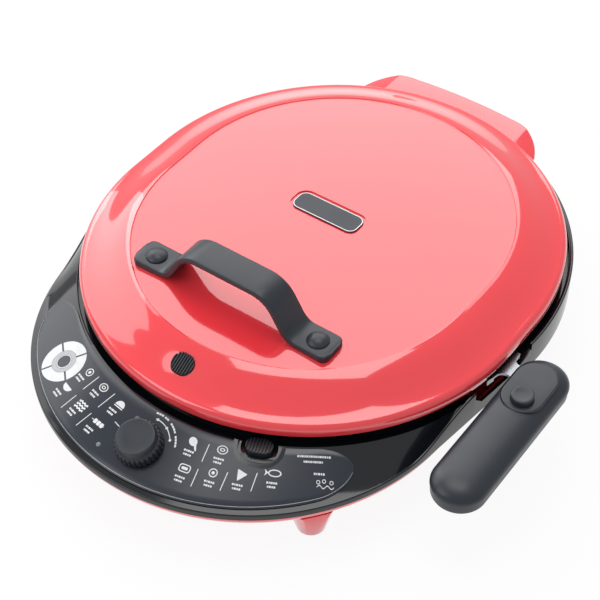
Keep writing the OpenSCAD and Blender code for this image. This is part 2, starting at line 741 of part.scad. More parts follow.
module pan_latch_guide() {
    color([0.3, 0.31, 0.33]) at_release() difference() {
        union() {
            translate([-13, -7.5, tray_z + wall_t + gap]) cube([24, 15, guide_floor_z - tray_z - wall_t - gap]);
            translate([-30, -7.5, guide_floor_z - 3]) cube([41, 15, 3]);
            for (y = [-7.5, 5.3]) translate([-30, y, guide_floor_z - 0.01]) cube([27.5, 2.2, latch_t + 2 * gap]);
        }
        translate([-2.5, 0, spring_floor_z]) cylinder(d = 6, h = 40);
        translate([-4.3, -3.5, latch_z - 1 - button_travel - 1]) cube([8.6, 7, 20]);
        translate([-8, 0, tray_z]) cylinder(d = screw_d, h = 12);
        translate([6, 0, tray_z]) cylinder(d = screw_d, h = 12);
    }
}

terminal_z = tray_z + 9;
module terminal_block() {
    color([0.9, 0.89, 0.84]) difference() {
        translate([-20, 152, terminal_z]) cube([40, 13, 12]);
        for (x = [-13, 0, 13]) {
            translate([x, 158.5, terminal_z + 4]) cylinder(d = 5, h = 10);
            translate([x, 148, terminal_z + 4]) rotate([-90, 0, 0]) cylinder(d = 3.4, h = 20);
        }
    }
}

// Lead from the terminal block round the pan to the thermostat
wire_r = 1.3;
wire_z = seam_z + 1;
wire_run_r = pan_r + 4;
function wire_arc(a0, a1, n) = [for (i = [0:n]) let(q = pan_c + polar(wire_run_r, mix(a0, a1, i / n))) [q.x, q.y, wire_z]];
module internal_wiring() {
    end = at_knob_point([-8, -8, under_deck - 16]);
    color([0.75, 0.12, 0.1]) tube(concat(
        [[-13, 161, terminal_z + 4], [-13, 167, terminal_z + 4], [-24, 170, terminal_z + 6], [-34, 160, wire_z - 1]],
        wire_arc(104, 238, 26),
        [[-66, -207, wire_z - 4], [-52, -222, wire_z - 6], [-34, -230, wire_z - 8], end + [-5, 8, -1], end + [-0.9, 2, 0]]
    ), wire_r, 6);
}
function at_knob_point(v) = [
    knob_x + v.x,
    knob_y + v.y * cos(knob_tilt) - v.z * sin(knob_tilt),
    deck_z(knob_station, knob_ray) + v.y * sin(knob_tilt) + v.z * cos(knob_tilt)
];

// Lid

function arc_points(c, r, a0, a1, n) = [for (i = [0:n]) c + polar(r, mix(a0, a1, i / n))];
shoulder_angle = 65;
lid_shoulder = [lid_r - shoulder_r, skirt_h];
flange_start = lid_shoulder + polar(shoulder_r, shoulder_angle);
flange_swell = 0.5;
crease_step = 1;
function flange_z(r) =
    let(t = (flange_start.x - r) / (flange_start.x - crease_r))
    mix(flange_start.y, crease_rise, mix(t, smooth(t), flange_swell));
function crown_z(r) = crease_rise - crease_step + crown_rise * (1 - pow(r / crease_r, 2));

// Half section of the lid's skin, moved in by a thickness
function lid_profile(t) = concat(
    [[lid_r - t, 0]],
    arc_points(lid_shoulder, shoulder_r - t, 0, shoulder_angle, 7),
    [for (i = [1:7]) let(r = mix(flange_start.x, crease_r, i / 7)) [r - t * 0.42, flange_z(r) - t * 0.91]],
    [for (i = [0:9]) let(r = (crease_r - 0.7) * (1 - i / 9)) [r, crown_z(r) - t]]
);

module lid_solid(t) {
    translate([0, 0, rim_z]) stadium_revolve(lid_straight) polygon(concat(lid_profile(t), [[0, 0]]));
}

module lid_skin() {
    outer = lid_profile(0);
    inner = lid_profile(lid_t);
    count = len(inner);
    translate([0, 0, rim_z]) stadium_revolve(lid_straight)
        polygon(concat(outer, [for (i = [count - 1:-1:0]) inner[i]]));
}

// Hood over the hinge
hood_x = -4;
hood_half = 88;
hood_corner = 40;
hood_slope = 24;
hood_fall = 7.6;
hood_y = rear_r + 12;
hood_curve_r = 450;
hood_low_z = rim_z - 2;
hood_top_z = rim_z + 6;
module hood_block(inset) {
    half = hood_half - inset;
    top = hood_top_z - inset;
    intersection() {
        rotate([90, 0, 0]) translate([hood_x, 0, -hood_y - 1]) linear_extrude(80) polygon([
            [-half, hood_low_z - 6], [half, hood_low_z - 6], [half, top - hood_fall],
            [half - hood_slope, top], [hood_slope - half, top], [-half, top - hood_fall]
        ]);
        translate([0, 0, hood_low_z + (inset > 0 ? -2 : 0)]) linear_extrude(20) intersection() {
            translate([hood_x - half, 100]) square([2 * half, hood_y - inset - 100]);
            translate([hood_x, hood_y - inset - hood_curve_r]) circle(hood_curve_r);
            translate([hood_x, hood_y - inset - 47]) rounded_rect(2 * half, 94, hood_corner - inset);
        }
    }
}

module lid_hood() {
    difference() {
        hood_block(0);
        hood_block(lid_t);
        lid_solid(0.4);
        translate([0, 0, hood_low_z - 3]) cylinder(r = lid_r - lid_t, h = rim_z - hood_low_z + 4);
    }
}

// Barrels that hang from the hood and turn on the hinge pins
module lid_barrels() {
    for (m = [0, 1]) mirror([m, 0, 0]) translate([hinge_x - barrel_w / 2 + gap, hinge_y, hinge_z]) rotate([0, 90, 0]) difference() {
        union() {
            cylinder(r = ear_r - 0.4, h = barrel_w - 2 * gap);
            translate([hinge_z - hood_top_z + 1, -ear_r + 0.9, 0]) cube([hood_top_z - hinge_z - 1, 2 * ear_r - 1.8, barrel_w - 2 * gap]);
        }
        translate([0, 0, -1]) cylinder(d = pin_d + 2 * run_fit, h = barrel_w + 2);
    }
}

// The plate's release button, on the lid's front flange
plate_button_r = 156.6;
plate_button = [0, -lid_straight - plate_button_r];
plate_button_w = 18;
plate_button_d = 14;
plate_latch_z = rim_z - 2.8;
module at_plate_button() {
    translate(plate_button) rotate(-90) children();
}
flange_slope = atan((flange_z(plate_button_r - 2) - flange_z(plate_button_r + 2)) / 4);

badge_at = [-2, -12];
badge_w = 60;
badge_d = 20;
badge_corner = 7;
badge_top_z = rim_z + crown_z(0);

handle_x = -3;
handle_y = -128.5;
handle_foot_x = lid_handle_len / 2 - 15;
frame_boss_r = lid_r - 13;
frame_boss_angles = [35, 90, 145];
lid_post_angles = [45, 135, 225, 315];
upper_floor_z = rim_z + 7;
upper_element_z = upper_floor_z + plate_t + gap + element_d / 2;
upper_reflector_z = upper_element_z + element_d / 2 + 2;

module frame_bosses(d, low, high) {
    for (a = frame_boss_angles) {
        translate(concat(polar(frame_boss_r, a), low)) cylinder(d = d, h = high - low);
        translate(concat(front_c + polar(frame_boss_r, -a), low)) cylinder(d = d, h = high - low);
    }
}

module lid_shell() {
    color([0.98, 0.27, 0.3]) difference() {
        union() {
            lid_skin();
            lid_hood();
            lid_barrels();
            intersection() {
                union() {
                    frame_bosses(8, frame_z + frame_t, rim_z + 40);
                    for (a = lid_post_angles) translate(concat(pan_c + polar(60, a), upper_reflector_z + 0.8)) cylinder(d = 8, h = 40);
                }
                lid_solid(1);
            }
        }
        frame_bosses(screw_d + 2 * run_fit, frame_z + frame_t - 1, frame_z + frame_t + 5);
        for (a = lid_post_angles) translate(concat(pan_c + polar(60, a), upper_reflector_z)) cylinder(d = screw_d, h = 6);
        at_plate_button() translate([0, 0, rim_z + 5]) linear_extrude(40) rotate(90) obround(plate_button_w + 0.8, plate_button_d + 0.8);
        translate([badge_at.x, badge_at.y, badge_top_z - 1.3]) linear_extrude(10) rounded_rect(badge_w + 5, badge_d + 5, badge_corner + 2.5);
        for (x = [-1, 1]) translate([handle_x + x * handle_foot_x, handle_y, rim_z + 10]) cylinder(d = 4.4, h = 30);
        translate([lid_r - 20, fold_y - 24, rim_z - 1]) cube([40, 44, 2.8]);
    }
}

module lid_inner_frame() {
    hook_places = [70, 110];
    color([0.15, 0.15, 0.16]) difference() {
        union() {
            translate([0, 0, frame_z]) linear_extrude(frame_t) difference() {
                stadium(lid_r - lid_t - gap, lid_straight);
                translate(pan_c) circle(pan_r - 6.5);
            }
            for (a = hook_places) translate([pan_c.x, pan_c.y, 0]) rotate(a) {
                translate([pan_r - 2.6, -6, rim_z - 2.8]) cube([3, 12, frame_z - rim_z + 2.9]);
                translate([pan_r - 5.5, -6, rim_z - 2.8]) cube([4, 12, 2]);
            }
        }
        frame_bosses(screw_d + 0.8, frame_z - 1, frame_z + frame_t + 1);
        at_plate_button() translate([-4.5, -3.6, frame_z - 1]) cube([9, 7.2, 5]);
        translate([lid_r - 20, fold_y - 24, frame_z - 3]) cube([40, 44, 3.2]);
    }
}

module inner_frame_screws() {
    color([0.75, 0.75, 0.76]) {
        for (a = frame_boss_angles) {
            translate(concat(polar(frame_boss_r, a), frame_z)) screw(screw_d, 7, 5.6, 1.6);
            translate(concat(front_c + polar(frame_boss_r, -a), frame_z)) screw(screw_d, 7, 5.6, 1.6);
        }
    }
}

module upper_reflector() {
    color([0.82, 0.83, 0.84]) translate([pan_c.x, pan_c.y, upper_reflector_z]) difference() {
        cylinder(r = element_r + 22, h = 0.8);
        for (a = lid_post_angles) translate(concat(polar(60, a), -1)) cylinder(d = screw_d + 0.4, h = 3);
        for (x = [-1, 1]) rotate(-90 + x * element_gap / 2) translate([element_r, 0, -1]) cylinder(d = element_d + 1.5, h = 4);
    }
}

module upper_heating_element() {
    color([0.35, 0.35, 0.36]) translate([pan_c.x, pan_c.y, upper_element_z]) mirror([0, 0, 1])
        ring_element(upper_element_z - upper_reflector_z - 2);
}

module upper_element_brackets() {
    color([0.8, 0.8, 0.81]) translate([pan_c.x, pan_c.y, 0]) for (a = bracket_angles) rotate(a)
        saddle(upper_element_z - 0.5, upper_reflector_z, upper_element_z);
}

module thermal_fuse() {
    color([0.85, 0.83, 0.78]) translate([-10, pan_c.y, upper_reflector_z + 0.85]) rotate([0, 90, 0]) translate([-2, 0, 0]) {
        cylinder(d = 4, h = 20);
        translate([0, 0, -8]) cylinder(d = 1, h = 36);
    }
}

module upper_plate() {
    lip = frame_z - 2.3;
    low = ledge_z + 2.7;
    color([0.16, 0.16, 0.17]) translate([pan_c.x, pan_c.y, 0]) rotate_extrude() polygon([
        [0, upper_floor_z], [pan_r - 20, upper_floor_z], [pan_r - 13.5, low], [pan_r - 9.2, low], [pan_r - 9.2, lip],
        [pan_r - 3, lip], [pan_r - 3, lip + 2], [pan_r - 9.6, lip + 2], [pan_r - 16, upper_floor_z + plate_t - 0.6],
        [pan_r - 18, upper_floor_z + plate_t], [0, upper_floor_z + plate_t]
    ]);
}

plate_cap_low = rim_z + 12.2;
module plate_release_button() {
    top_z = rim_z + flange_z(front_c.y - plate_button.y) + 1.6;
    color([0.08, 0.08, 0.09]) at_plate_button() {
        translate([0, 0, plate_latch_z]) latch_cam(plate_cap_low + 1 - plate_latch_z);
        ribbed_cap(plate_button_w, plate_button_d, plate_cap_low, top_z, flange_slope);
        translate([-3.5, -plate_button_w / 2 - 2, plate_cap_low - 1.2]) cube([7, plate_button_w + 4, 1.4]);
    }
}

module plate_release_spring() {
    color([0.75, 0.75, 0.76]) at_plate_button() translate([0, 0, frame_z + frame_t]) coil(5.6, 0.8, plate_cap_low - 1.3 - frame_z - frame_t, 5);
}

module plate_latch() {
    reach = pan_c.y - pan_r + 2.5 + 3 - plate_button.y;
    color([0.72, 0.72, 0.74]) at_plate_button() translate([0, 0, plate_latch_z]) latch_tongue(reach, 9);
}

module plate_latch_guide() {
    color([0.3, 0.31, 0.33]) at_plate_button() difference() {
        union() {
            translate([-6.5, -7.5, plate_latch_z - gap - 1.6]) cube([20, 15, 1.6]);
            for (y = [-7.5, 5.3]) translate([-6.5, y, plate_latch_z - gap - 0.01]) cube([20, 2.2, frame_z - hair - plate_latch_z + gap]);
        }
        translate([-4.4, -3.5, plate_latch_z - 6]) cube([8.4, 7, 10]);
    }
}

module badge_plate() {
    color([0.33, 0.36, 0.4]) translate([badge_at.x, badge_at.y, badge_top_z - 1.25]) linear_extrude(1.25) rounded_rect(badge_w, badge_d, badge_corner);
}

// Lid handle: a strap that rises from two feet

strap_slope = 60;
bend_top = 22;
bend_foot = 14;
strap_mid_z = lid_handle_top - strap_t / 2;
foot_mid_z = rim_z + crease_rise + 2.5;
strap_fall = strap_mid_z - foot_mid_z;
strap_run = (strap_fall - (bend_top + bend_foot) * (1 - cos(strap_slope))) / sin(strap_slope);
strap_reach = (bend_top + bend_foot) * sin(strap_slope) + strap_run * cos(strap_slope);
strap_flat = lid_handle_len / 2 - 26 - strap_reach;

// Right half of the strap's edge, offset from its middle line
function strap_edge(off) = concat(
    arc_points([strap_flat, strap_mid_z - bend_top], bend_top + off, 90, 90 - strap_slope, 8),
    arc_points([strap_flat + strap_reach, foot_mid_z + bend_foot], bend_foot - off, 270 - strap_slope, 270, 8),
    [[lid_handle_len / 2, foot_mid_z + off]]
);

module strap_profile() {
    upper = strap_edge(strap_t / 2);
    lower = strap_edge(-strap_t / 2);
    low = foot_mid_z - strap_t;
    half = concat(
        upper,
        [[lid_handle_len / 2, low], [strap_flat + strap_reach, low]],
        [for (i = [len(lower) - 2:-1:0]) lower[i]]
    );
    polygon(concat(half, [for (i = [len(half) - 1:-1:0]) [-half[i].x, half[i].y]]));
}

cap_d = 17;
module lid_handle() {
    color([0.29, 0.31, 0.34]) difference() {
        intersection() {
            translate([handle_x, handle_y + lid_handle_w / 2, 0]) rotate([90, 0, 0]) linear_extrude(lid_handle_w)
                strap_profile();
            translate([handle_x, handle_y, rim_z]) linear_extrude(90) rounded_rect(lid_handle_len, lid_handle_w, 6);
        }
        translate([0, 0, 0.1]) lid_solid(0);
        for (x = [-1, 1]) translate([handle_x + x * handle_foot_x, handle_y, 0]) {
            translate([0, 0, rim_z]) cylinder(d = 4.4, h = 60);
            translate([0, 0, foot_mid_z]) cylinder(d = 8.4, h = 10);
        }
    }
}

module handle_screws() {
    color([0.78, 0.78, 0.8]) for (x = [-1, 1]) translate([handle_x + x * handle_foot_x, handle_y, foot_mid_z]) {
        cylinder(d = 7.6, h = strap_t / 2 - 0.4);
        translate([0, 0, -12]) cylinder(d = 4, h = 12.1);
    }
}

module handle_nuts() {
    color([0.78, 0.78, 0.8]) for (x = [-1, 1]) translate([handle_x + x * handle_foot_x, handle_y, foot_mid_z - 10]) difference() {
        cylinder(d = 8.1, h = 3.2, $fn = 6);
        translate([0, 0, -1]) cylinder(d = 4 + 2 * run_fit, h = 6);
    }
}

module handle_caps() {
    dome = 3.4;
    ball_r = (cap_d * cap_d / 4 + dome * dome) / (2 * dome);
    color([0.26, 0.28, 0.31]) for (x = [-1, 1]) translate([handle_x + x * handle_foot_x, handle_y, foot_mid_z + strap_t / 2 + 0.05]) {
        cylinder(d = cap_d, h = 0.8);
        translate([0, 0, 0.8]) intersection() {
            translate([0, 0, dome - ball_r]) sphere(ball_r);
            cylinder(d = cap_d, h = dome);
        }
    }
}

// Folding side handle

grip_low = 9.5;
grip_rise = 9;
pad_x = fold_x - 1;
pad_near_y = fold_y - 25;
pad_far_y = fold_y - 6;
pad_r = 16;
pad_top_z = grip_z + 11;
fold_button_y = fold_y - 28;
fold_button_d = 17;
fold_slot_z = [bracket_z - gap, bracket_z + bracket_t + gap];

module at_grip() {
    translate([fold_x, fold_y, 0]) children();
}

module grip_body(inset) {
    at_grip() translate([0, 0, grip_z]) stadium_revolve(grip_len) polygon(concat(
        [[0, 0], [grip_r - inset, 0]],
        [for (i = [0:8]) let(a = 90 * i / 8) [(grip_r - inset) * cos(a), 1.2 + (grip_rise - inset) * sin(a)]]
    ));
}

module pad_plan(r) {
    translate([pad_x, pad_near_y]) circle(r);
    translate([pad_x, pad_far_y]) circle(r);
    translate([pad_x - r, pad_near_y]) square([2 * r, pad_far_y - pad_near_y]);
}

// Room for the bracket while the handle swings: from the left side round to the rear
module fold_room() {
    at_grip() translate([-60, -eye_r - 1, fold_slot_z[0]]) cube([60 + eye_r + 1, 60 + eye_r, fold_slot_z[1] - fold_slot_z[0]]);
}

grip_screw_y = [-55, -grip_len + 4];
module grip_upper_shell() {
    color([0.29, 0.31, 0.34]) difference() {
        union() {
            difference() {
                grip_body(0);
                grip_body(wall_t);
            }
            intersection() {
                translate([0, 0, grip_z + 1]) linear_extrude(pad_top_z - grip_z - 1) pad_plan(pad_r);
                union() {
                    translate([0, 0, grip_z + grip_rise - 4]) linear_extrude(20) pad_plan(pad_r);
                    grip_body(0);
                }
            }
            at_grip() translate([0, 0, grip_z + 0.1]) cylinder(d = fold_pin_d + 5, h = grip_rise - 1);
            at_grip() for (y = grip_screw_y) translate([0, y, grip_z]) cylinder(d = 7, h = grip_rise - 1);
        }
        at_grip() translate([0, 0, grip_z - 1]) cylinder(d = fold_pin_d + 2 * run_fit, h = 7);
        at_grip() for (y = grip_screw_y) translate([0, y, grip_z - 1]) cylinder(d = screw_d + 2 * run_fit, h = 7);
        translate([fold_x, fold_button_y, grip_z - 1]) cylinder(d = fold_button_d + 0.6, h = 40);
        fold_room();
    }
}

module grip_lower_shell() {
    floor_z = grip_z - grip_low;
    color([0.24, 0.26, 0.29]) difference() {
        union() {
            difference() {
                translate([fold_x, fold_y, floor_z]) linear_extrude(grip_low - 0.1) stadium(grip_r - 0.6, grip_len);
                translate([fold_x, fold_y, floor_z + wall_t]) linear_extrude(grip_low) stadium(grip_r - 0.6 - wall_t, grip_len);
            }
            at_grip() translate([0, 0, floor_z]) cylinder(d = fold_pin_d + 5, h = grip_low - 2);
            at_grip() for (y = grip_screw_y) translate([0, y, floor_z]) cylinder(d = 8, h = grip_low - 0.1);
        }
        at_grip() translate([0, 0, floor_z + wall_t]) cylinder(d = fold_pin_d + 2 * run_fit, h = 20);
        at_grip() for (y = grip_screw_y) translate([0, y, floor_z - 1]) {
            cylinder(d = screw_d + 0.6, h = 20);
            cylinder(d = 6.4, h = 4);
        }
        fold_room();
    }
}

module grip_screws() {
    color([0.75, 0.75, 0.76]) at_grip() for (y = grip_screw_y) translate([0, y, grip_z - grip_low + 3])
        screw(screw_d, 11, 5.6, 1.8);
}

module fold_pin() {
    low = grip_z - grip_low + wall_t;
    color([0.78, 0.78, 0.8]) at_grip() translate([0, 0, low + 0.1]) cylinder(d = fold_pin_d, h = grip_z + 5.6 - low);
}

module fold_button() {
    color([0.24, 0.26, 0.28]) translate([fold_x, fold_button_y, 0]) {
        translate([0, 0, grip_z + 2.6]) cylinder(d = fold_button_d, h = pad_top_z + 4 - grip_z - 2.6);
        translate([0, 0, pad_top_z + 3.99]) cylinder(d1 = fold_button_d, d2 = fold_button_d - 2, h = 0.8);
    }
}

module fold_button_spring() {
    low = grip_z - grip_low + wall_t;
    color([0.75, 0.75, 0.76]) translate([fold_x, fold_button_y, low]) coil(5, 0.9, grip_z + 2.6 - low, 5);
}

// The whole part stands with the middle of its box over the origin
side_x = [-rear_r, fold_x + grip_r];
depth_y = [-front_offset - front_r, hood_y];
module place() {
    translate([-(side_x[0] + side_x[1]) / 2, -(depth_y[0] + depth_y[1]) / 2, 0]) children();
}

place() base_tray();
place() foot_pads();
place() base_screws();
place() base_housing();
place() control_panel();
place() indicator_lens();
place() heat_reflector();
place() element_brackets();
place() lower_heating_element();
place() temperature_sensor();
place() lower_pan();
place() pan_catch();
place() handle_bracket();
place() bracket_rivets();
place() thermostat();
place() thermostat_nut();
place() knob_shaft();
place() control_knob();
place() pan_release_button();
place() pan_release_spring();
place() pan_latch();
place() pan_latch_guide();
place() terminal_block();
place() internal_wiring();
place() cord_gland();
place() hinge_pins();
place() lid_shell();
place() lid_inner_frame();
place() inner_frame_screws();
place() upper_reflector();
place() upper_element_brackets();
place() upper_heating_element();
place() thermal_fuse();
place() upper_plate();
place() plate_release_button();
place() plate_release_spring();
place() plate_latch();
place() plate_latch_guide();
place() badge_plate();
place() lid_handle();
place() handle_screws();
place() handle_nuts();
place() handle_caps();
place() grip_upper_shell();
place() grip_lower_shell();
place() grip_screws();
place() fold_pin();
place() fold_button();
place() fold_button_spring();
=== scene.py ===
import math

import bmesh
import bpy
import numpy as np
from mathutils import Matrix, Vector


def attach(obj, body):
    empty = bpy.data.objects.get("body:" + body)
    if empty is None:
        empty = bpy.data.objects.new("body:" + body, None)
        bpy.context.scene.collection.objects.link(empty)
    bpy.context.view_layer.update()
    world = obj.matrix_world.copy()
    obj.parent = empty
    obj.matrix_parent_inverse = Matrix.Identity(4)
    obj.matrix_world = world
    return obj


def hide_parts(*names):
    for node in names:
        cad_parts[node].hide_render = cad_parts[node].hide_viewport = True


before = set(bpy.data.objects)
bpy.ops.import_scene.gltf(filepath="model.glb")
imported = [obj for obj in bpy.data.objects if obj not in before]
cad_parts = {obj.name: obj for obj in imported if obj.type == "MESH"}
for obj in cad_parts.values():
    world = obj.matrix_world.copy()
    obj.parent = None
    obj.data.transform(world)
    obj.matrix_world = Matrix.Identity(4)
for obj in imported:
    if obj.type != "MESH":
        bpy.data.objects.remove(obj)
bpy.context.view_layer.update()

bl_info = {
    "name": "Electric pizza maker",
    "version": (1, 0, 0),
    "blender": (4, 5, 0),
    "location": "3D View > Sidebar > Pizza maker",
    "description": "Builds the looks of a table-top pizza maker round its packed frame",
    "category": "Add Mesh",
}

# Sizes below are millimetres, drawn round the lid's rear centre on the table.
MM = 0.001
LID_REAR = np.array([-22.0, 42.0, 0.0])

# Lid
LID_R, LID_STRAIGHT, RIM_Z = 180.0, 38.0, 67.0
SKIRT_H, SHOULDER_R, SHOULDER_ANGLE, LID_T = 4.0, 6.0, 65.0, 2.5
SHOULDER = (LID_R - SHOULDER_R, SKIRT_H)
CREASE_R, CREASE_RISE, CREASE_STEP, CROWN_RISE = 139.0, 25.0, 1.0, 4.5
FLANGE_X = LID_R - SHOULDER_R + SHOULDER_R * math.cos(math.radians(SHOULDER_ANGLE))
FLANGE_Z = SKIRT_H + SHOULDER_R * math.sin(math.radians(SHOULDER_ANGLE))
HOOD_X, HOOD_HALF, HOOD_FRONT_Y, HOOD_Y, HOOD_CURVE_R = -4.0, 88.0, 110.0, 198.0, 450.0
HOOD_LOW_Z, HOOD_TOP_Z, HOOD_CORNER, HOOD_SLOPE, HOOD_FALL = 65.0, 73.0, 40.0, 24.0, 7.6
BADGE_AT, BADGE_SIZE, BADGE_TOP_Z = (-2.0, -12.0), (60.0, 20.0, 7.0), 95.5
PLATE_BUTTON_AT, PLATE_BUTTON_HOLE = (0.0, -194.6), (18.8, 14.8)

# Hinge: two barrels under the lid's hood, each between two ears of the housing
HINGE_X, HINGE_Y, HINGE_Z = 42.0, 187.0, 62.5
EAR_R, EAR_T, BARREL_HALF, BARREL_ROOM, PIN_BORE_R = 5.2, 7.0, 6.7, 7.3, 2.05

# Base
REAR_R, FRONT_R, FRONT_OFFSET = 186.0, 172.0, 110.0
SEAM_Z, FLANGE_H, WALL_TOP_Z, WALL_T = 38.0, 5.5, 63.0, 2.5
LEDGE_R, LEDGE_Z, GROOVE_Z, PAN_R, PAN_FLOOR_Z = 174.0, 57.5, 55.0, 166.0, 46.0
TRAY_Z, TRAY_RUN, TRAY_IN_REAR, TRAY_IN_FRONT = 20.0, 36.0, 8.0, 0.6
FOOT_R, FOOT_FLARE, PAD_H, PAD_BED_R = 11.5, 0.27, 2.0, 7.55
FOOT_PLACES = ((121, -206), (-121, -206), (104, 96), (-104, 96))
BOSS_R, SCREW_BORE_R, SCREW_WELL_R = 6.0, 1.7, 3.7
BOSS_PLACES = ((60, 152), (-60, 152), (124, 106), (-124, 106),
               (122, -160), (-122, -160), (38, -222), (-46, -214))
VENT_SIZE, VENT_PITCH, VENT_Y = (60.0, 4.0), 14.0, -70.0
BRACKET_SLOT = ((-29, -9), (9, -9), (29, -1), (29, 30), (-37, 30), (-37, -1))
GLAND_ANGLE, GLAND_Z, GLAND_HALF = 52.0, 46.4, 4.55
FRONT_C = np.array([0.0, -LID_STRAIGHT])
PAN_C = np.array([0.0, -LID_STRAIGHT / 2])

# Controls
PANEL_LIFT, PANEL_T, PANEL_HALF_ANGLE, PANEL_ROUND_ANGLE = 0.5, 0.8, 44.5, 7.5
PANEL_INNER, PANEL_OUTER = 2.6, 4.5
PANEL_TOP = PANEL_LIFT + PANEL_T
KNOB_AT, KNOB_D, KNOB_H, OFF_ANGLE, SHAFT_HOLE_R = (4.0, -250.5), 36.0, 13.0, 128.0, 4.85
LAMP_AT, LAMP_HOLE_R, LAMP_TURN = (-23.0, -265.0), 1.85, -1.5
RELEASE_ANGLE, RELEASE_R, RELEASE_HOLE = -67.6, 203.5, (20.8, 13.8)
WELL_SIZE, WELL_FLOOR_SIZE, WELL_Z = (27.0, 20.0), (31.0, 24.0), 57.0

# Handles
HANDLE_X, HANDLE_Y, HANDLE_LEN, HANDLE_W, HANDLE_TOP = -3.0, -128.5, 180.0, 26.0, 129.0
STRAP_T, STRAP_SLOPE, STRAP_BEND_TOP, STRAP_BEND_FOOT, STRAP_CORNER = 5.0, 60.0, 22.0, 14.0, 6.0
HANDLE_FOOT_LEN, HANDLE_FOOT_X, FOOT_MID_Z, FOOT_LOW_Z = 26.0, 75.0, 94.5, 84.0
CAP_D, CAP_DOME = 17.0, 3.4
FOLD_X, FOLD_Y, GRIP_R, GRIP_LEN, GRIP_Z = 209.0, -43.0, 21.0, 110.0, 60.5
GRIP_LOW, GRIP_BAND, GRIP_RISE, GRIP_SCREW_R = 9.5, 1.2, 9.0, 3.2
PAD_R, PAD_TOP_Z, PAD_EDGE = 16.0, 71.5, 1.2
FOLD_BUTTON_AT, FOLD_BUTTON_D, FOLD_BUTTON_H = (209.0, -71.0), 17.0, 4.79
BRACKET_LOW_Z, BRACKET_HIGH_Z = 59.35, 61.95


# ---------------------------------------------------------------- meshes

def millimetres(length):
    """A user's length in metres as millimetres, free of single-precision dust."""
    return round(length / MM, 4)


def new_piece(name, points, faces):
    """A mesh object from points in millimetres."""
    mesh = bpy.data.meshes.new(name)
    mesh.from_pydata(((np.asarray(points, float) + LID_REAR) * MM).tolist(), [], faces)
    obj = bpy.data.objects.new(name, mesh)
    bpy.context.scene.collection.objects.link(obj)
    tidy_mesh(obj)
    return obj


def tidy_mesh(obj):
    """Welds points that coincide and turns every face outward."""
    work = bmesh.new()
    work.from_mesh(obj.data)
    bmesh.ops.remove_doubles(work, verts=work.verts, dist=0.004 * MM)
    bmesh.ops.dissolve_degenerate(work, edges=work.edges, dist=0.002 * MM)
    if any(len(e.link_faces) != 2 for e in work.edges):
        raise RuntimeError(f"{obj.name} isn't closed")
    bmesh.ops.recalc_face_normals(work, faces=work.faces)
    work.to_mesh(obj.data)
    work.free()
    obj.data.update()


def finish_piece(obj, material, body, replaces=(), angle=32.0):
    """Smooth shading, one material, and the body that the piece moves with."""
    obj.data.materials.clear()
    obj.data.materials.append(material)
    obj.data.shade_smooth()
    obj.data.set_sharp_from_angle(angle=math.radians(angle))
    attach(obj, body)
    if replaces:
        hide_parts(*replaces)
    return obj


def grid_faces(rings, count, closed=True, left_out=()):
    """Quads between rings of equal count, and back to the first ring where closed."""
    faces = []
    for i in range(rings if closed else rings - 1):
        a, b = i * count, ((i + 1) % rings) * count
        for j in range(count):
            if j in left_out:
                continue
            k = (j + 1) % count
            faces.append((a + j, a + k, b + k, b + j))
    return faces


def skin(name, rings, closed=True, left_out=()):
    """A closed skin through rings. An open run of rings is capped at both ends."""
    rings = np.asarray(rings, float)
    m, n = rings.shape[:2]
    faces = grid_faces(m, n, closed, left_out)
    if not closed:
        faces += [tuple(range(n)), tuple(range((m - 1) * n, m * n))]
    return new_piece(name, rings.reshape(-1, 3), faces)


def soften(points, radius, steps=4):
    """Rounds the corners of a closed outline."""
    points = [np.asarray(p, float) for p in points]
    out = []
    for i, p in enumerate(points):
        a, b = points[i - 1], points[(i + 1) % len(points)]
        reach = min(radius, 0.45 * np.linalg.norm(a - p), 0.45 * np.linalg.norm(b - p))
        p0 = p + (a - p) / np.linalg.norm(a - p) * reach
        p1 = p + (b - p) / np.linalg.norm(b - p) * reach
        for k in range(steps + 1):
            t = k / steps
            out.append((1 - t) ** 2 * p0 + 2 * t * (1 - t) * p + t * t * p1)
    return out


def arc(centre, radius, start, end, steps):
    """Points of an arc, angles in degrees."""
    return [(centre[0] + radius * math.cos(t), centre[1] + radius * math.sin(t))
            for t in np.radians(np.linspace(start, end, steps + 1))]


def circle(radius, steps, centre=(0.0, 0.0)):
    """Points round a full circle."""
    return arc(centre, radius, 0, 360, steps)[:-1]


def scaled(outline, x_scale, y_scale=1.0):
    """An outline stretched along X and Y."""
    return [(x_scale * x, y_scale * y) for x, y in outline]


def shifted(outline, dx, dy=0.0):
    """An outline moved in the plan."""
    return [(dx + x, dy + y) for x, y in outline]


def turned(outline, turn, at):
    """An outline turned by an angle in degrees and set down at a place."""
    c, s = math.cos(math.radians(turn)), math.sin(math.radians(turn))
    return [(at[0] + c * x - s * y, at[1] + s * x + c * y) for x, y in outline]


def stadium_stations(straight, arcs, runs):
    """Centres and directions round two half circles and the straight runs between them."""
    out = []
    for i in range(arcs):
        t = math.pi * i / arcs
        out.append(((0.0, 0.0), (math.cos(t), math.sin(t))))
    for i in range(runs):
        out.append(((0.0, -straight * i / runs), (-1.0, 0.0)))
    for i in range(arcs):
        t = math.pi * (1 + i / arcs)
        out.append(((0.0, -straight), (math.cos(t), math.sin(t))))
    for i in range(runs):
        out.append(((0.0, -straight * (1 - i / runs)), (1.0, 0.0)))
    return out


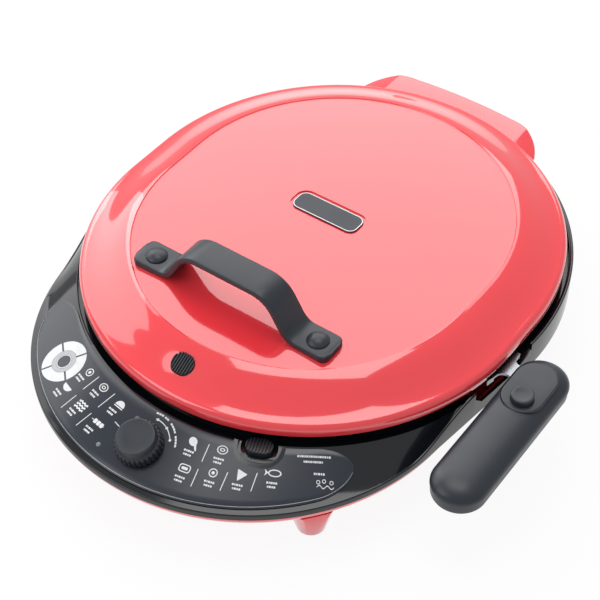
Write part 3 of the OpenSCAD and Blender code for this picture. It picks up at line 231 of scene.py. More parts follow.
def lathe(name, profile, centre=(0.0, 0.0), straight=0.0, arcs=64, runs=0):
    """Turns a closed (radius, height) profile round a centre, or round both ends of a straight."""
    rings = [[(centre[0] + c[0] + d[0] * r, centre[1] + c[1] + d[1] * r, z) for r, z in profile]
             for c, d in stadium_stations(straight, arcs, runs)]
    following = profile[1:] + profile[:1]
    on_axis = [j for j, (a, b) in enumerate(zip(profile, following)) if max(a[0], b[0]) < 1e-6]
    return skin(name, rings, left_out=on_axis)


def rect_outline(w, d, r, steps=10):
    """Rounded rectangle round the origin."""
    out = []
    for x, y, a in ((1, 1, 0), (-1, 1, 90), (-1, -1, 180), (1, -1, 270)):
        out += arc((x * (w / 2 - r), y * (d / 2 - r)), r, a, a + 90, steps)
    return out


def bar_outline(size, steps=20):
    """Bar with round ends, its size long in X and deep in Y."""
    w, d = size
    return (arc(((w - d) / 2, 0), d / 2, -90, 90, steps)
            + arc((-(w - d) / 2, 0), d / 2, 90, 270, steps))


def prism(name, outline, low, high, turn=0.0, at=(0.0, 0.0)):
    """Upright solid over an outline."""
    plan = turned(outline, turn, at)
    return skin(name, [[(x, y, z) for x, y in plan] for z in (low, high)], closed=False)


def round_pillar(name, radius, low, high, at, steps=32):
    """Upright round bar."""
    return prism(name, circle(radius, steps), low, high, at=at)


def box_solid(name, low, high):
    """Plain block, used only as a cutter or hidden inside another piece."""
    return prism(name, [(low[0], low[1]), (high[0], low[1]), (high[0], high[1]), (low[0], high[1])],
                 low[2], high[2])


def slab(name, section, x0, x1):
    """Solid of one section in Y and Z between two places along X."""
    return skin(name, [[(x, y, z) for y, z in section] for x in (x0, x1)], closed=False)


def combine(target, others, operation):
    """Joins solids to the target, or cuts them out of it, and removes them."""
    for other in others:
        change = target.modifiers.new(other.name, "BOOLEAN")
        change.operation, change.solver, change.object = operation, "MANIFOLD", other
    graph = bpy.context.evaluated_depsgraph_get()
    mesh = bpy.data.meshes.new_from_object(target.evaluated_get(graph))
    if not mesh.polygons:
        raise RuntimeError(f"{target.name}: {operation} left nothing")
    target.modifiers.clear()
    target.data = mesh
    for other in others:
        bpy.data.objects.remove(other)
    return target


def transform(obj, matrix):
    """Moves a piece's points by a matrix whose place is in millimetres."""
    shift = Matrix.Translation(Vector(LID_REAR) * MM)
    move = matrix.copy()
    move.translation = move.translation * MM
    obj.data.transform(shift @ move @ shift.inverted())
    return obj


# ---------------------------------------------------------------- plan of the base

def mix(a, b, t):
    """Value between two others."""
    return a + (b - a) * t


def smooth(t):
    """Eases from 0 to 1 without a kink at either end."""
    u = max(0.0, min(1.0, t))
    return u * u * (3 - 2 * u)


def exit_circle(p, d, c, r):
    """Distance from a point along a direction to where it leaves a circle."""
    q = p - c
    b = q @ d
    return -b + math.sqrt(max(0.0, b * b - (q @ q - r * r)))


def outline_r(p, d, r1, r2, off):
    """Distance along a ray to the outline: two circles and their common tangents."""
    s = (r1 - r2) / off
    n = np.array([math.sqrt(1 - s * s), -s])
    a = np.array([abs(d[0]), d[1]])
    along = n @ a
    t = (r1 - n @ p) / along if along > 0.001 else -1.0
    y = p[1] + a[1] * t
    if t > 0 and r2 * n[1] - off <= y <= r1 * n[1]:
        return t
    return max(exit_circle(p, d, np.zeros(2), r1), exit_circle(p, d, np.array([0.0, -off]), r2))


def base_stations(front, rear):
    """Start points and directions round the base, as the frame's own stations but closer."""
    out = []
    for i in range(front + 1):
        t = math.pi * (1 + i / front)
        out.append((FRONT_C, np.array([math.cos(t), math.sin(t)])))
    for y in (0.25, 0.5, 0.75):
        out.append((FRONT_C * (1 - y), np.array([1.0, 0.0])))
    for i in range(rear + 1):
        t = math.pi * i / rear
        out.append((np.zeros(2), np.array([math.cos(t), math.sin(t)])))
    for y in (0.25, 0.5, 0.75):
        out.append((FRONT_C * y, np.array([-1.0, 0.0])))
    return out


def housing_r(s):
    """Distance along a station to the housing's outer wall."""
    return outline_r(s[0], s[1], REAR_R, FRONT_R, FRONT_OFFSET)


def tray_r(s):
    """Distance along a station to the tray's upper edge."""
    return outline_r(s[0], s[1], REAR_R - TRAY_IN_REAR, FRONT_R - TRAY_IN_FRONT, FRONT_OFFSET)


def wall_rise(s):
    """0 where the wall is low in front, 1 where it is high at the rear."""
    return smooth((s[0][1] + s[1][1] * housing_r(s) + 150.0) / 70.0)


def wall_z(s):
    """Height of the outer wall's upper edge."""
    return mix(SEAM_Z + FLANGE_H, WALL_TOP_Z, wall_rise(s))


def deck_in_r(s):
    """Distance along a station to the deck's inner edge."""
    return min(LID_R + 2.5, housing_r(s) - WALL_T)


def deck_in_z(s):
    """Height of the deck's inner edge."""
    return mix(RIM_Z - 7, WALL_TOP_Z - 0.4, wall_rise(s))


def deck_z(s, r):
    """Height of the deck at a distance along a station."""
    r0, r1 = deck_in_r(s) + 0.9, housing_r(s) - 1.2
    return mix(deck_in_z(s), wall_z(s), (r - r0) / (r1 - r0))


def deck_at(x, y):
    """Height of the front deck over a point of the plan."""
    v = np.array([x, y]) - FRONT_C
    r = np.linalg.norm(v)
    return deck_z((FRONT_C, v / r), r)


def station_ring(s, section):
    """A section of (distance, height) points stood up along a station."""
    return [(s[0][0] + s[1][0] * r, s[0][1] + s[1][1] * r, z) for r, z in section]


def level_ring(stations, distance, z):
    """A ring at one height, at a distance worked out for each station."""
    return [station_ring(s, [(distance(s), z)])[0] for s in stations]


KNOB_TILT = math.degrees(math.atan(
    (deck_at(0, KNOB_AT[1]) - deck_at(0, KNOB_AT[1] - 10)) / 10))


def deck_seat(at, z):
    """A place on the sloping front deck, tilted as the deck is under the knob."""
    return Matrix.Translation((*at, z)) @ Matrix.Rotation(math.radians(KNOB_TILT), 4, "X")


KNOB_SEAT = deck_seat(KNOB_AT, deck_at(0, KNOB_AT[1]))
RELEASE_AT = PAN_C + RELEASE_R * np.array(
    [math.cos(math.radians(RELEASE_ANGLE)), math.sin(math.radians(RELEASE_ANGLE))])


# ---------------------------------------------------------------- colours and materials

def linear(hex_colour):
    """Linear RGBA of an sRGB hex colour."""
    parts = [int(hex_colour[i:i + 2], 16) / 255 for i in (1, 3, 5)]
    return (*(p / 12.92 if p <= 0.04045 else ((p + 0.055) / 1.055) ** 2.4 for p in parts), 1.0)


def add(tree, kind, links=None, **settings):
    """Adds one node. Settings are its properties or socket values, links its linked sockets."""
    node = tree.nodes.new(kind)
    for key, value in settings.items():
        if hasattr(node, key):
            setattr(node, key, value)
        else:
            socket = int(key[1:]) if key[0] == "i" and key[1:].isdigit() else key.replace("_", " ")
            node.inputs[socket].default_value = value
    for socket, source in (links or {}).items():
        tree.links.new(source, node.inputs[socket])
    return node


def shader(name, **settings):
    """A material with one Principled shader: itself, its node tree, the shader and the output."""
    material = bpy.data.materials.new(name)
    material.use_nodes = True
    tree = material.node_tree
    tree.nodes.clear()
    surface = add(tree, "ShaderNodeBsdfPrincipled", **settings)
    out = add(tree, "ShaderNodeOutputMaterial", {"Surface": surface.outputs[0]})
    material.diffuse_color = surface.inputs["Base Color"].default_value
    return material, tree, surface, out


def patterned(name, tones, roughness, tone, gloss, relief, height, specks=0.0, **settings):
    """A material whose tone, gloss and relief each follow a pattern of a real size.

    Tones are two sRGB hex colours, roughness its lowest and highest value, height the relief in
    millimetres. A pattern is (size in millimetres, detail, roughness, stretch along X, Y and Z).
    Specks, where a size is given, are small cells that show the second tone.
    """
    material, tree, surface, _ = shader(name, Base_Color=linear(tones[0]), **settings)
    place = add(tree, "ShaderNodeTexCoord").outputs["Object"]
    made = {}
    for pattern in (tone, gloss, relief):
        if pattern not in made:
            size, detail, broken, stretch = pattern
            stretched = add(tree, "ShaderNodeMapping", {"Vector": place}, Scale=stretch)
            made[pattern] = add(tree, "ShaderNodeTexNoise", {"Vector": stretched.outputs[0]},
                                Scale=1000.0 / size, Detail=detail, Roughness=broken).outputs["Fac"]
    share = made[tone]
    if specks:
        cells = add(tree, "ShaderNodeTexVoronoi", {"Vector": place}, Scale=1000 / specks,
                    Randomness=1.0).outputs["Distance"]
        share = add(tree, "ShaderNodeMapRange", {"Value": cells},
                    i1=0.08, i2=0.14, i3=1.0, i4=0.0).outputs[0]
    blend = add(tree, "ShaderNodeMix", {0: share}, data_type="RGBA",
                i6=linear(tones[0]), i7=linear(tones[1]))
    level = add(tree, "ShaderNodeMapRange", {"Value": made[gloss]},
                i1=0.3, i2=0.7, i3=roughness[0], i4=roughness[1])
    bumps = add(tree, "ShaderNodeBump", {"Height": made[relief]}, Strength=1.0,
                Distance=height * MM)
    for socket, source in (("Base Color", blend.outputs[2]), ("Roughness", level.outputs[0]),
                           ("Normal", bumps.outputs[0])):
        tree.links.new(source, surface.inputs[socket])
    return material


EVEN = (1, 1, 1)


def moulded(name, tones, roughness, grain_mm, height, spread=0.04, patch_mm=45, ior=1.5,
            **settings):
    """Moulded plastic or pressed ceramic: slow drift of tone and gloss over a grain."""
    patches = (patch_mm, 3.0, 0.5, EVEN)
    return patterned(name, tones, (roughness - spread, roughness + spread), patches, patches,
                     (grain_mm, 3.0, 0.6, EVEN), height, Roughness=roughness, IOR=ior, **settings)


def sheet_metal(name, tones, roughness, stretch, line_mm, height):
    """Rolled, brushed or turned metal: fine lines along one way that change the gloss."""
    lines = (line_mm, 4.0, 0.7, stretch)
    return patterned(name, tones, (roughness - 0.08, roughness + 0.1), (25, 2.0, 0.5, EVEN),
                     lines, lines, height, Roughness=roughness, Metallic=1.0)


def make_materials(colours, sizes):
    """Every finish of the pizza maker by its slot."""
    return {
        # Gloss ABS under a clear hard lacquer: sharp reflections with a faint ripple
        "red": moulded("abs_polished_red", (colours.lid_red, "#EC3740"), 0.1, 14.0, 0.002,
                       spread=0.02, patch_mm=120, Coat_Weight=1.0, Coat_Roughness=0.03,
                       Coat_IOR=1.6),
        # Gloss ABS in black, from a polished tool: near-black with sharp reflections
        "black_gloss": moulded("abs_polished_black", (colours.housing_black, "#131519"), 0.1, 9.0,
                               0.002, spread=0.02, patch_mm=90, ior=1.55),
        # Screen-printed polycarbonate film: semi-gloss slate with a very fine grain
        "panel_grey": moulded("polycarbonate_film_grey", (colours.panel_grey, "#1B222D"), 0.22, 0.5,
                              0.006, spread=0.03, patch_mm=60, ior=1.58),
        # Glass-filled polyamide from a spark-eroded tool: matte and soft to the eye
        "handle_grey": moulded("polyamide_grained_grey", (colours.handle_grey, "#21262E"), 0.36,
                               millimetres(sizes.handle_grain), 0.012, spread=0.05, patch_mm=30),
        # ABS from a lightly etched tool: a low, even sheen
        "knob_grey": moulded("abs_etched_charcoal", (colours.knob_grey, "#242930"), 0.32, 0.5,
                             0.008, patch_mm=18),
        # Satin black ABS, for the ribbed buttons and the frames inside: a soft, dark sheen
        "black_matte": moulded("abs_satin_black", ("#1D2126", "#24282E"), 0.34, 0.6, 0.01),
        # Smoked polycarbonate lens over an unlit lamp: grey with some light inside
        "lens": moulded("polycarbonate_lens", ("#8B9096", "#7D8288"), 0.18, 2.0, 0.002, ior=1.58,
                        Subsurface_Weight=0.2, Subsurface_Radius=(0.002, 0.002, 0.002)),
        # Silicone rubber pads: dull, with dust in the pores
        "pad_rubber": moulded("silicone_rubber_black", ("#1C1C1D", "#2B2B2A"), 0.75, 0.8, 0.03),
        # Cast aluminium under a sprayed PTFE coat: dark grey with fine pale specks of about 0.7 mm
        "coated_aluminium": patterned("ptfe_coated_aluminium", ("#232325", "#77777A"),
                                      (0.32, 0.46), (30, 2.0, 0.5, EVEN), (30, 2.0, 0.5, EVEN),
                                      (0.7, 3.0, 0.5, EVEN), 0.015, specks=3.2,
                                      Roughness=0.38, IOR=1.38),
        # Stainless sheet, punched and tumbled: bright, with fine lines along its length
        "bright_steel": sheet_metal("stainless_sheet_tumbled", ("#A6A9AE", "#8F9398"), 0.28,
                                    (1, 8, 8), 1.6, 0.003),
        # Rolled aluminium sheet: pale, with faint rolling lines
        "reflector_sheet": sheet_metal("aluminium_sheet_rolled", ("#D6D7D9", "#C6C8CB"), 0.3,
                                       (1, 14, 14), 4.0, 0.004),
        # Incoloy heater sheath, oxidised by heat: dark grey-brown with a dull sheen
        "element_steel": patterned("oxidised_heater_sheath", ("#2E2E30", "#5B5048"),
                                   (0.42, 0.62), (12, 4.0, 0.5, EVEN), (12, 4.0, 0.5, EVEN),
                                   (0.8, 2.0, 0.5, EVEN), 0.01, Roughness=0.5, Metallic=0.75),
        # Turned brass: warm, with rings of tool marks
        "brass": sheet_metal("brass_turned", ("#C9A255", "#B28C42"), 0.28, (1, 1, 12), 1.2, 0.003),
        # Thermoset block, pressed: off-white and slightly chalky
        "block_plastic": moulded("thermoset_off_white", ("#E4E1D6", "#D5D1C4"), 0.55, 1.0, 0.015),
        # Extruded silicone sleeve on the leads: soft red
        "wire_red": moulded("silicone_sleeve_red", ("#A31C1C", "#8D1515"), 0.5, 1.0, 0.01),
        # Glazed ceramic sleeve of the fuse: off-white with a shine
        "fuse_ceramic": moulded("ceramic_sleeve", ("#E6E2D6", "#DAD5C6"), 0.35, 1.5, 0.008,
                                ior=1.6),
        # Screen-printing ink on the film: flat white, a little thinner in places
        "print": moulded("screen_ink_white", (colours.ink_white, "#D4D7D9"), 0.55, 0.4, 0.004,
                         spread=0.03, patch_mm=6),
        # The same ink in grey: flat and pale. It also paints the highlight line along the panel's
        # outer edge
        "grey_print_and_highlight": moulded("screen_ink_grey", ("#B9BCC0", "#AEB1B5"), 0.55, 0.4, 0.004),
    }


MATERIALS = {}


# ---------------------------------------------------------------- red lid

def flange_z(r):
    """Height of the flange over the rim, from the shoulder up to the crease."""
    t = (FLANGE_X - r) / (FLANGE_X - CREASE_R)
    return mix(FLANGE_Z, CREASE_RISE, mix(t, smooth(t), 0.5))


def crown_z(r):
    """Height of the crown over the rim, inside the crease."""
    return CREASE_RISE - CREASE_STEP + CROWN_RISE * (1 - (r / CREASE_R) ** 2)


def lid_profile():
    """Closed half section of the lid's skin."""
    line = [(LID_R - 0.5, 0.0), (LID_R - 0.12, 0.12), (LID_R, 0.5)]
    line += arc(SHOULDER, SHOULDER_R, 0, SHOULDER_ANGLE, 14)
    line += [(r, flange_z(r)) for r in np.linspace(FLANGE_X, CREASE_R + 0.5, 30)[1:]]
    line += [(CREASE_R + 0.2, CREASE_RISE - 0.03), (CREASE_R - 0.1, CREASE_RISE - 0.22),
             (CREASE_R - 0.5, CREASE_RISE - 0.78), (CREASE_R - 0.9, crown_z(CREASE_R - 0.9) + 0.04)]
    line += [(r, crown_z(r)) for r in np.linspace(CREASE_R - 1.5, 0.0, 36)]
    # Back under the crown and the flange to the rim
    line += [(r, crown_z(r) - LID_T) for r in np.linspace(0.0, CREASE_R - 2, 14)]
    line += [(r - 1.05, flange_z(r) - 2.27) for r in np.linspace(CREASE_R, FLANGE_X, 10)]
    line += arc(SHOULDER, SHOULDER_R - LID_T, SHOULDER_ANGLE, 0, 6)[1:]
    line += [(LID_R - LID_T, 0.3), (LID_R - LID_T + 0.3, 0.0)]
    return [(r, RIM_Z + z) for r, z in line]


def lid_fill(inset):
    """The lid as a full body, moved in by an inset, for cutting away what lies inside it."""
    line = [(0.0, 0.0), (LID_R - inset, 0.0)]
    line += arc(SHOULDER, SHOULDER_R - inset, 0, SHOULDER_ANGLE, 10)
    line += [(r - 0.4 * inset, flange_z(r) - 0.9 * inset)
             for r in np.linspace(FLANGE_X, CREASE_R, 12)[1:]]
    line += [(r, crown_z(r) - inset) for r in np.linspace(CREASE_R - 2, 0.0, 8)]
    return lathe("lid_fill", [(r, RIM_Z + z) for r, z in line], straight=LID_STRAIGHT, arcs=96,
                 runs=4)


def hood_solid(name, inset, low, edge):
    """Body of the hood over the hinge: a bowed rear with round ends, its flat top falling there."""
    half, corner, tip = HOOD_HALF - inset, HOOD_CORNER - inset, HOOD_Y - inset

    def rear(x):
        bow = math.sqrt(HOOD_CURVE_R ** 2 - min(abs(x), half - corner) ** 2)
        past = max(0.0, abs(x) - (half - corner))
        return tip - HOOD_CURVE_R + bow - corner + math.sqrt(max(0.0, corner ** 2 - past ** 2))

    def top(x):
        return HOOD_TOP_Z - inset - HOOD_FALL * max(0.0, abs(x) - (half - HOOD_SLOPE)) / HOOD_SLOPE

    ends = [half - corner + corner * math.sin(a) for a in np.radians(np.linspace(0, 90, 25))]
    ends = sorted(ends + [half - HOOD_SLOPE - 0.25, half - HOOD_SLOPE + 0.25])
    middle = list(np.linspace(ends[0], -ends[0], 29)[::-1][1:-1])
    sections = []
    for x in [-x for x in ends[::-1]] + middle + ends:
        y, z = rear(x), top(x)
        section = [(y, low)] + arc((y - edge, z - edge), edge, 0, 90, 6)
        section += [(HOOD_FRONT_Y, z), (HOOD_FRONT_Y, low)]
        sections.append([(HOOD_X + x, *p) for p in section])
    return skin(name, sections, closed=False)


def hinge_bar(name, x, half, radius):
    """Round bar along X on the hinge's axis."""
    return slab(name, circle(radius, 40, (HINGE_Y, HINGE_Z)), x - half, x + half)


def badge_outline(off, steps=10):
    """The badge's outline, moved out by an offset."""
    w, d, r = BADGE_SIZE
    return rect_outline(w + 2 * off, d + 2 * off, r + off, steps)


class PIZZA_OT_lid(bpy.types.Operator):
    """Moulds the red lid with its crease, button hole, badge pocket and hinge hood"""
    bl_idname = "pizza.lid"
    bl_label = "Red lid"

    def execute(self, context):
        lid = lathe("lid_moulding", lid_profile(), straight=LID_STRAIGHT, arcs=144, runs=12)
        hood = hood_solid("hood", 0.0, HOOD_LOW_Z, 2.0)
        hollow = hood_solid("hollow", LID_T, HOOD_LOW_Z - 2, 1.0)
        inner_rim = [tuple(np.array(c) + np.array(d) * (LID_R - LID_T))
                     for c, d in stadium_stations(LID_STRAIGHT, 96, 4)]
        inside = prism("inside", inner_rim, HOOD_LOW_Z - 4, RIM_Z + 2)
        combine(hood, [hollow, lid_fill(0.6), inside], "DIFFERENCE")

        arm = 4.3
        added, cut = [hood], [
            prism("button_hole", bar_outline(PLATE_BUTTON_HOLE, 24), RIM_Z + 5, RIM_Z + 40,
                  at=PLATE_BUTTON_AT),
            prism("badge_pocket", badge_outline(2.5, 12), BADGE_TOP_Z - 1.3, BADGE_TOP_Z + 9,
                  at=BADGE_AT),
            box_solid("notch", (LID_R - 20, FOLD_Y - 24, RIM_Z - 1),
                      (LID_R + 20, FOLD_Y + 20, RIM_Z + 1.8)),
        ]
        for x in (-HINGE_X, HINGE_X):
            added.append(hinge_bar("barrel", x, BARREL_HALF, EAR_R - 0.4))
            added.append(box_solid("arm", (x - BARREL_HALF, HINGE_Y - arm, HINGE_Z),
                                   (x + BARREL_HALF, HINGE_Y + arm, HOOD_TOP_Z - 3)))
            cut.append(hinge_bar("pin_hole", x, 9, PIN_BORE_R))
        combine(lid, added, "UNION")
        combine(lid, cut, "DIFFERENCE")
        finish_piece(lid, MATERIALS["red"], "lid", ["lid_shell"], angle=28)
        return {"FINISHED"}


# ---------------------------------------------------------------- base

def housing_section(s):
    """Closed section of the housing along a station, with rounded edges where they show."""
    ro, ri = housing_r(s), deck_in_r(s)
    ze, zi = wall_z(s), deck_in_z(s)
    rp = exit_circle(s[0], s[1], PAN_C, PAN_R - 4)
    w = max(0.0, min(1.0, (ro - ri - 5) / 5))
    ru = min(ri + 2.2, ro - WALL_T - 0.1)
    zu, ledge_low = GROOVE_Z - 2.2, LEDGE_Z - 2.2
    line = [
        (ro - WALL_T, SEAM_Z), (ro - WALL_T, mix(zu + 0.15, ze - 3, w)),
        (ru, mix(zu + 0.1, zi - 3.2, w)), (ru, zu), (LEDGE_R - 2, zu),
        (LEDGE_R - 2.5, ledge_low), (rp + 2.2, ledge_low), (rp + 2.2, PAN_FLOOR_Z - 1),
        (rp, PAN_FLOOR_Z - 1), (rp, LEDGE_Z), (LEDGE_R - 0.5, LEDGE_Z), (LEDGE_R, GROOVE_Z),
        (ri, GROOVE_Z),
    ]
    wide = min(1.0, (ro - ri) / 4.0)
    line += [(ri, zi - 0.9), (ri + 0.12 * wide, zi - 0.4), (ri + 0.4 * wide, zi - 0.1),
             (ri + 0.9 * wide, zi)]
    line += [(mix(ri + 0.9 * wide, ro - 1.6, t), mix(zi, ze + 0.02, t))
             for t in (0.25, 0.5, 0.75, 1.0)]
    line += arc((ro - 1.2, ze - 1.2), 1.2, 80, 0, 6)
    line += [(ro, SEAM_Z + 0.3), (ro - 0.3, SEAM_Z)]
    return line


def at_release(name, size, steps, low, high):
    """A round-ended bar at the pan's release button, its long side across the station."""
    return prism(name, bar_outline(size, steps), low, high, turn=RELEASE_ANGLE + 90, at=RELEASE_AT)


def ear_section():
    """Side view of a hinge ear: a round eye on a foot that grows out of the housing's wall."""
    line = [(REAR_R - 20, HINGE_Z - 16), (REAR_R - 2, HINGE_Z - 12)]
    line += arc((HINGE_Y, HINGE_Z), EAR_R, -97, 132, 22)
    return line + [(REAR_R - 14, HINGE_Z + 0.2), (REAR_R - 20, HINGE_Z - 4)]


class PIZZA_OT_housing(bpy.types.Operator):
    """Moulds the gloss black housing with its flange, sloping deck, pan ledge and hinge ears"""
    bl_idname = "pizza.housing"
    bl_label = "Black housing"

    def execute(self, context):
        housing = skin("housing_moulding",
                       [station_ring(s, housing_section(s)) for s in base_stations(200, 120)])
        slot = [(FOLD_Y + y, LEDGE_Z + z) for y, z in BRACKET_SLOT]
        added = [at_release("well_floor", WELL_FLOOR_SIZE, 16, WELL_Z - 2.2, WELL_Z)]
        cut = [
            at_release("well", WELL_SIZE, 20, WELL_Z, WELL_Z + 20),
            at_release("button_hole", RELEASE_HOLE, 20, GROOVE_Z - 6, GROOVE_Z + 14),
            slab("slot", slot, LEDGE_R - 14, LEDGE_R + 26),
        ]
        for x in (-HINGE_X, HINGE_X):
            for x0 in (x - (BARREL_ROOM + EAR_T), x + BARREL_ROOM):
                added.append(slab("ear", ear_section(), x0, x0 + EAR_T))
            cut.append(hinge_bar("barrel_room", x, BARREL_ROOM, EAR_R + 1))
            cut.append(hinge_bar("pin_bore", x, 16, PIN_BORE_R))
        notch = box_solid("gland_notch", (-GLAND_HALF, -GLAND_HALF, -10), (12.8, GLAND_HALF, 4))
        seat = Matrix.Rotation(math.radians(GLAND_ANGLE), 4, "Z") @ Matrix.Translation(
            (REAR_R, 0, GLAND_Z)) @ Matrix.Rotation(math.radians(90), 4, "Y")
        cut.append(transform(notch, seat))
        combine(housing, added, "UNION")
        combine(housing, cut, "DIFFERENCE")
        finish_piece(housing, MATERIALS["black_gloss"], "base", ["base_housing"],
                     angle=30)
        return {"FINISHED"}


def foot_solid(place):
    """One foot: a cone that widens into the tray's curve, with a rounded end."""
    top = 31.0 if place[1] < 0 else 26.5
    line = [(0, PAD_H), (FOOT_R - 2.3, PAD_H), (FOOT_R - 1.1, PAD_H + 0.5),
            (FOOT_R - 0.3, PAD_H + 1.6), (FOOT_R, PAD_H + 3)]
    line += [(FOOT_R + FOOT_FLARE * (top - PAD_H - 3), top), (0, top)]
    skirt = [s[0] + s[1] * (tray_r(s) - 1.5) for s in base_stations(160, 96)]
    return combine(lathe("foot", line, centre=place, arcs=48),
                   [prism("skirt", skirt, 0, SEAM_Z)], "INTERSECT")


class PIZZA_OT_tray(bpy.types.Operator):
    """Moulds the red base tray with its four feet, screw wells and vent slots"""
    bl_idname = "pizza.tray"
    bl_label = "Red base tray"

    def execute(self, context):
        edge_z = SEAM_Z - 0.3
        drop = edge_z - TRAY_Z
        bend = np.radians(np.linspace(90, 0, 19))
        stations = base_stations(160, 96)

        def wall_in(s):
            return min(tray_r(s) - WALL_T, housing_r(s) - 5)

        # Up the curved outside, over the lip in the housing, and down the inside
        rings = [level_ring(stations, lambda s: tray_r(s) - TRAY_RUN * (1 - math.cos(a)),
                            edge_z - drop * math.sin(a)) for a in bend]
        rings += [level_ring(stations, lambda s: housing_r(s) - (WALL_T + 0.3), z)
                  for z in (SEAM_Z, SEAM_Z + 2)]
        rings.append(level_ring(stations, wall_in, SEAM_Z + 2))
        rings += [level_ring(stations, lambda s: wall_in(s) - TRAY_RUN * (1 - math.cos(a)),
                             edge_z - (drop - WALL_T) * math.sin(a)) for a in bend[::-1]]
        tray = skin("tray_moulding", rings, closed=False)
        combine(tray, [foot_solid(p) for p in FOOT_PLACES]
                + [round_pillar("pillar", BOSS_R, TRAY_Z + 1, TRAY_Z + 9, p) for p in BOSS_PLACES],
                "UNION")
        cut = [round_pillar("pillar", radius, low, high, p) for radius, low, high, places in (
            (SCREW_BORE_R, 0, TRAY_Z + 12, BOSS_PLACES),
            (SCREW_WELL_R, TRAY_Z - 3, TRAY_Z + 5, BOSS_PLACES),
            (PAD_BED_R, PAD_H - 1, PAD_H + 1, FOOT_PLACES)) for p in places]
        cut += [prism("vent", bar_outline(VENT_SIZE, 10), TRAY_Z - 1, TRAY_Z + 4, turn=90,
                      at=(i * VENT_PITCH, VENT_Y)) for i in range(-3, 4)]
        combine(tray, cut, "DIFFERENCE")
        finish_piece(tray, MATERIALS["red"], "base", ["base_tray"], angle=30)
        return {"FINISHED"}


# ---------------------------------------------------------------- control panel

def panel_span(a):
    """Share of the panel's full depth at an angle: less towards its round ends."""
    t = (abs(a) - PANEL_HALF_ANGLE + PANEL_ROUND_ANGLE) / PANEL_ROUND_ANGLE
    return max(0.06, math.sqrt(max(0.0, 1 - max(0.0, t) ** 2)))


def panel_angles(flat_steps, round_steps):
    """Angles of the panel's rays from straight ahead, closer together at its round ends."""
    flat = PANEL_HALF_ANGLE - PANEL_ROUND_ANGLE
    ends = [flat + PANEL_ROUND_ANGLE * math.cos(t)
            for t in np.linspace(0, math.pi / 2, round_steps + 1)[:-1]]
    return [-a for a in ends] + list(np.linspace(-flat, flat, flat_steps + 1)) + ends[::-1]


def panel_station(a):
    """Start point and direction of one of the panel's rays."""
    t = math.radians(a - 90)
    return FRONT_C, np.array([math.cos(t), math.sin(t)])


def ray_place(angle, r):
    """Point of the plan on a ray, at a distance from the front centre."""
    s = panel_station(angle)
    return tuple(s[0] + s[1] * r)


def panel_limits(a, inset=0.0):
    """Inner and outer radius of the panel along one of its rays."""
    s = panel_station(a)
    r0 = deck_in_r(s) + PANEL_INNER
    r1 = housing_r(s) - PANEL_OUTER
    half, mid = (r1 - r0) / 2 * panel_span(a) - inset, (r0 + r1) / 2
    return mid - max(0.05, half), mid + max(0.05, half)


def panel_section(a):
    """Closed section of the film along a ray, with softened edges."""
    s = panel_station(a)
    r0, r1 = panel_limits(a)
    edge = min(0.35, (r1 - r0) * 0.2)
    line = [(r0, 0.0), (r0, PANEL_T - edge), (r0 + edge * 0.35, PANEL_T - edge * 0.3)]
    line += [(r, PANEL_T) for r in np.linspace(r0 + edge, r1 - edge, 9)]
    line += [(r1 - edge * 0.35, PANEL_T - edge * 0.3), (r1, PANEL_T - edge), (r1, 0.0)]
    return station_ring(s, [(r, deck_z(s, r) + PANEL_LIFT + h) for r, h in line])


def draped(outline, at=(0.0, 0.0), turn=0.0, scale=1.0):
    """Low and high ring of a thin print that follows the panel's surface."""
    plan = turned(scaled(outline, scale, scale), turn, at)
    return [[(x, y, deck_at(x, y) + PANEL_TOP + h) for x, y in plan] for h in (-0.04, 0.05)]


class Print:
    """Gathers flat marks into one mesh that hugs the panel: printed marks, and also the painted
    highlight line along its edge.
    """

    def __init__(self):
        self.points, self.faces, self.scale = [], [], 1.0

    def gather(self, rings, faces):
        """Adds rings of points, and faces counted from their first point."""
        start = len(self.points)
        for ring in rings:
            self.points += ring
        self.faces += [tuple(start + k for k in f) for f in faces]

    def patch(self, outer, at=(0.0, 0.0), turn=0.0, hole=None):
        """One mark inside an outline, or a band between an outline and a hole of equal count."""
        rings, n = draped(outer, at, turn, self.scale), len(outer)
        if hole:
            rings += draped(hole, at, turn, self.scale)[::-1]
        faces = grid_faces(len(rings), n, closed=bool(hole))
        if not hole:
            faces += [tuple(range(n)), tuple(range(n, 2 * n))]
        self.gather(rings, faces)

    def band(self, one, two, at=(0.0, 0.0), turn=0.0):
        """Strip between two lines of equal count."""
        rings = draped(one, at, turn, self.scale) + draped(two, at, turn, self.scale)[::-1]
        n = len(one)
        sides = [(i * n, (i + 1) % 4 * n) for i in range(4)]
        faces = [(a + j, a + j + 1, b + j + 1, b + j) for a, b in sides for j in range(n - 1)]
        faces += [(0, n, 2 * n, 3 * n), (n - 1, 2 * n - 1, 3 * n - 1, 4 * n - 1)]
        self.gather(rings, faces)

    def bar(self, a, b, width):
        """Straight line between two points."""
        a, b = np.asarray(a, float), np.asarray(b, float)
        run = b - a
        half = np.linalg.norm(run) / 2
        top = [(x, width / 2) for x in np.linspace(-half, half, max(2, int(2 * half / 3)))]
        self.patch([(x, -width / 2) for x, _ in top] + top[::-1], tuple((a + b) / 2),
                   math.degrees(math.atan2(run[1], run[0])))

    def build(self, name, finish_slot, slot):
        """Makes the piece, which moves with the base."""
        return finish_piece(new_piece(name, self.points, self.faces), MATERIALS[finish_slot],
                            "base")


# Places of the marks: angle from straight ahead, distance from the front centre, kind of sign
LEFT_MARKS = ((-20.2, 196.6, "ball"), (-14.6, 196.2, "ring"), (-8.4, 197.0, "bun"),
              (-20.6, 215.4, "bowl"), (-14.8, 216.4, "waves"), (-9.2, 217.0, "skewer"))
RIGHT_MARKS = ((10.8, 195.4, "drop"), (17.2, 194.1, "ring"), (11.5, 214.6, "loaf"),
               (17.0, 211.4, "ball"), (22.2, 208.7, "slice"), (28.5, 203.4, "leaf"))
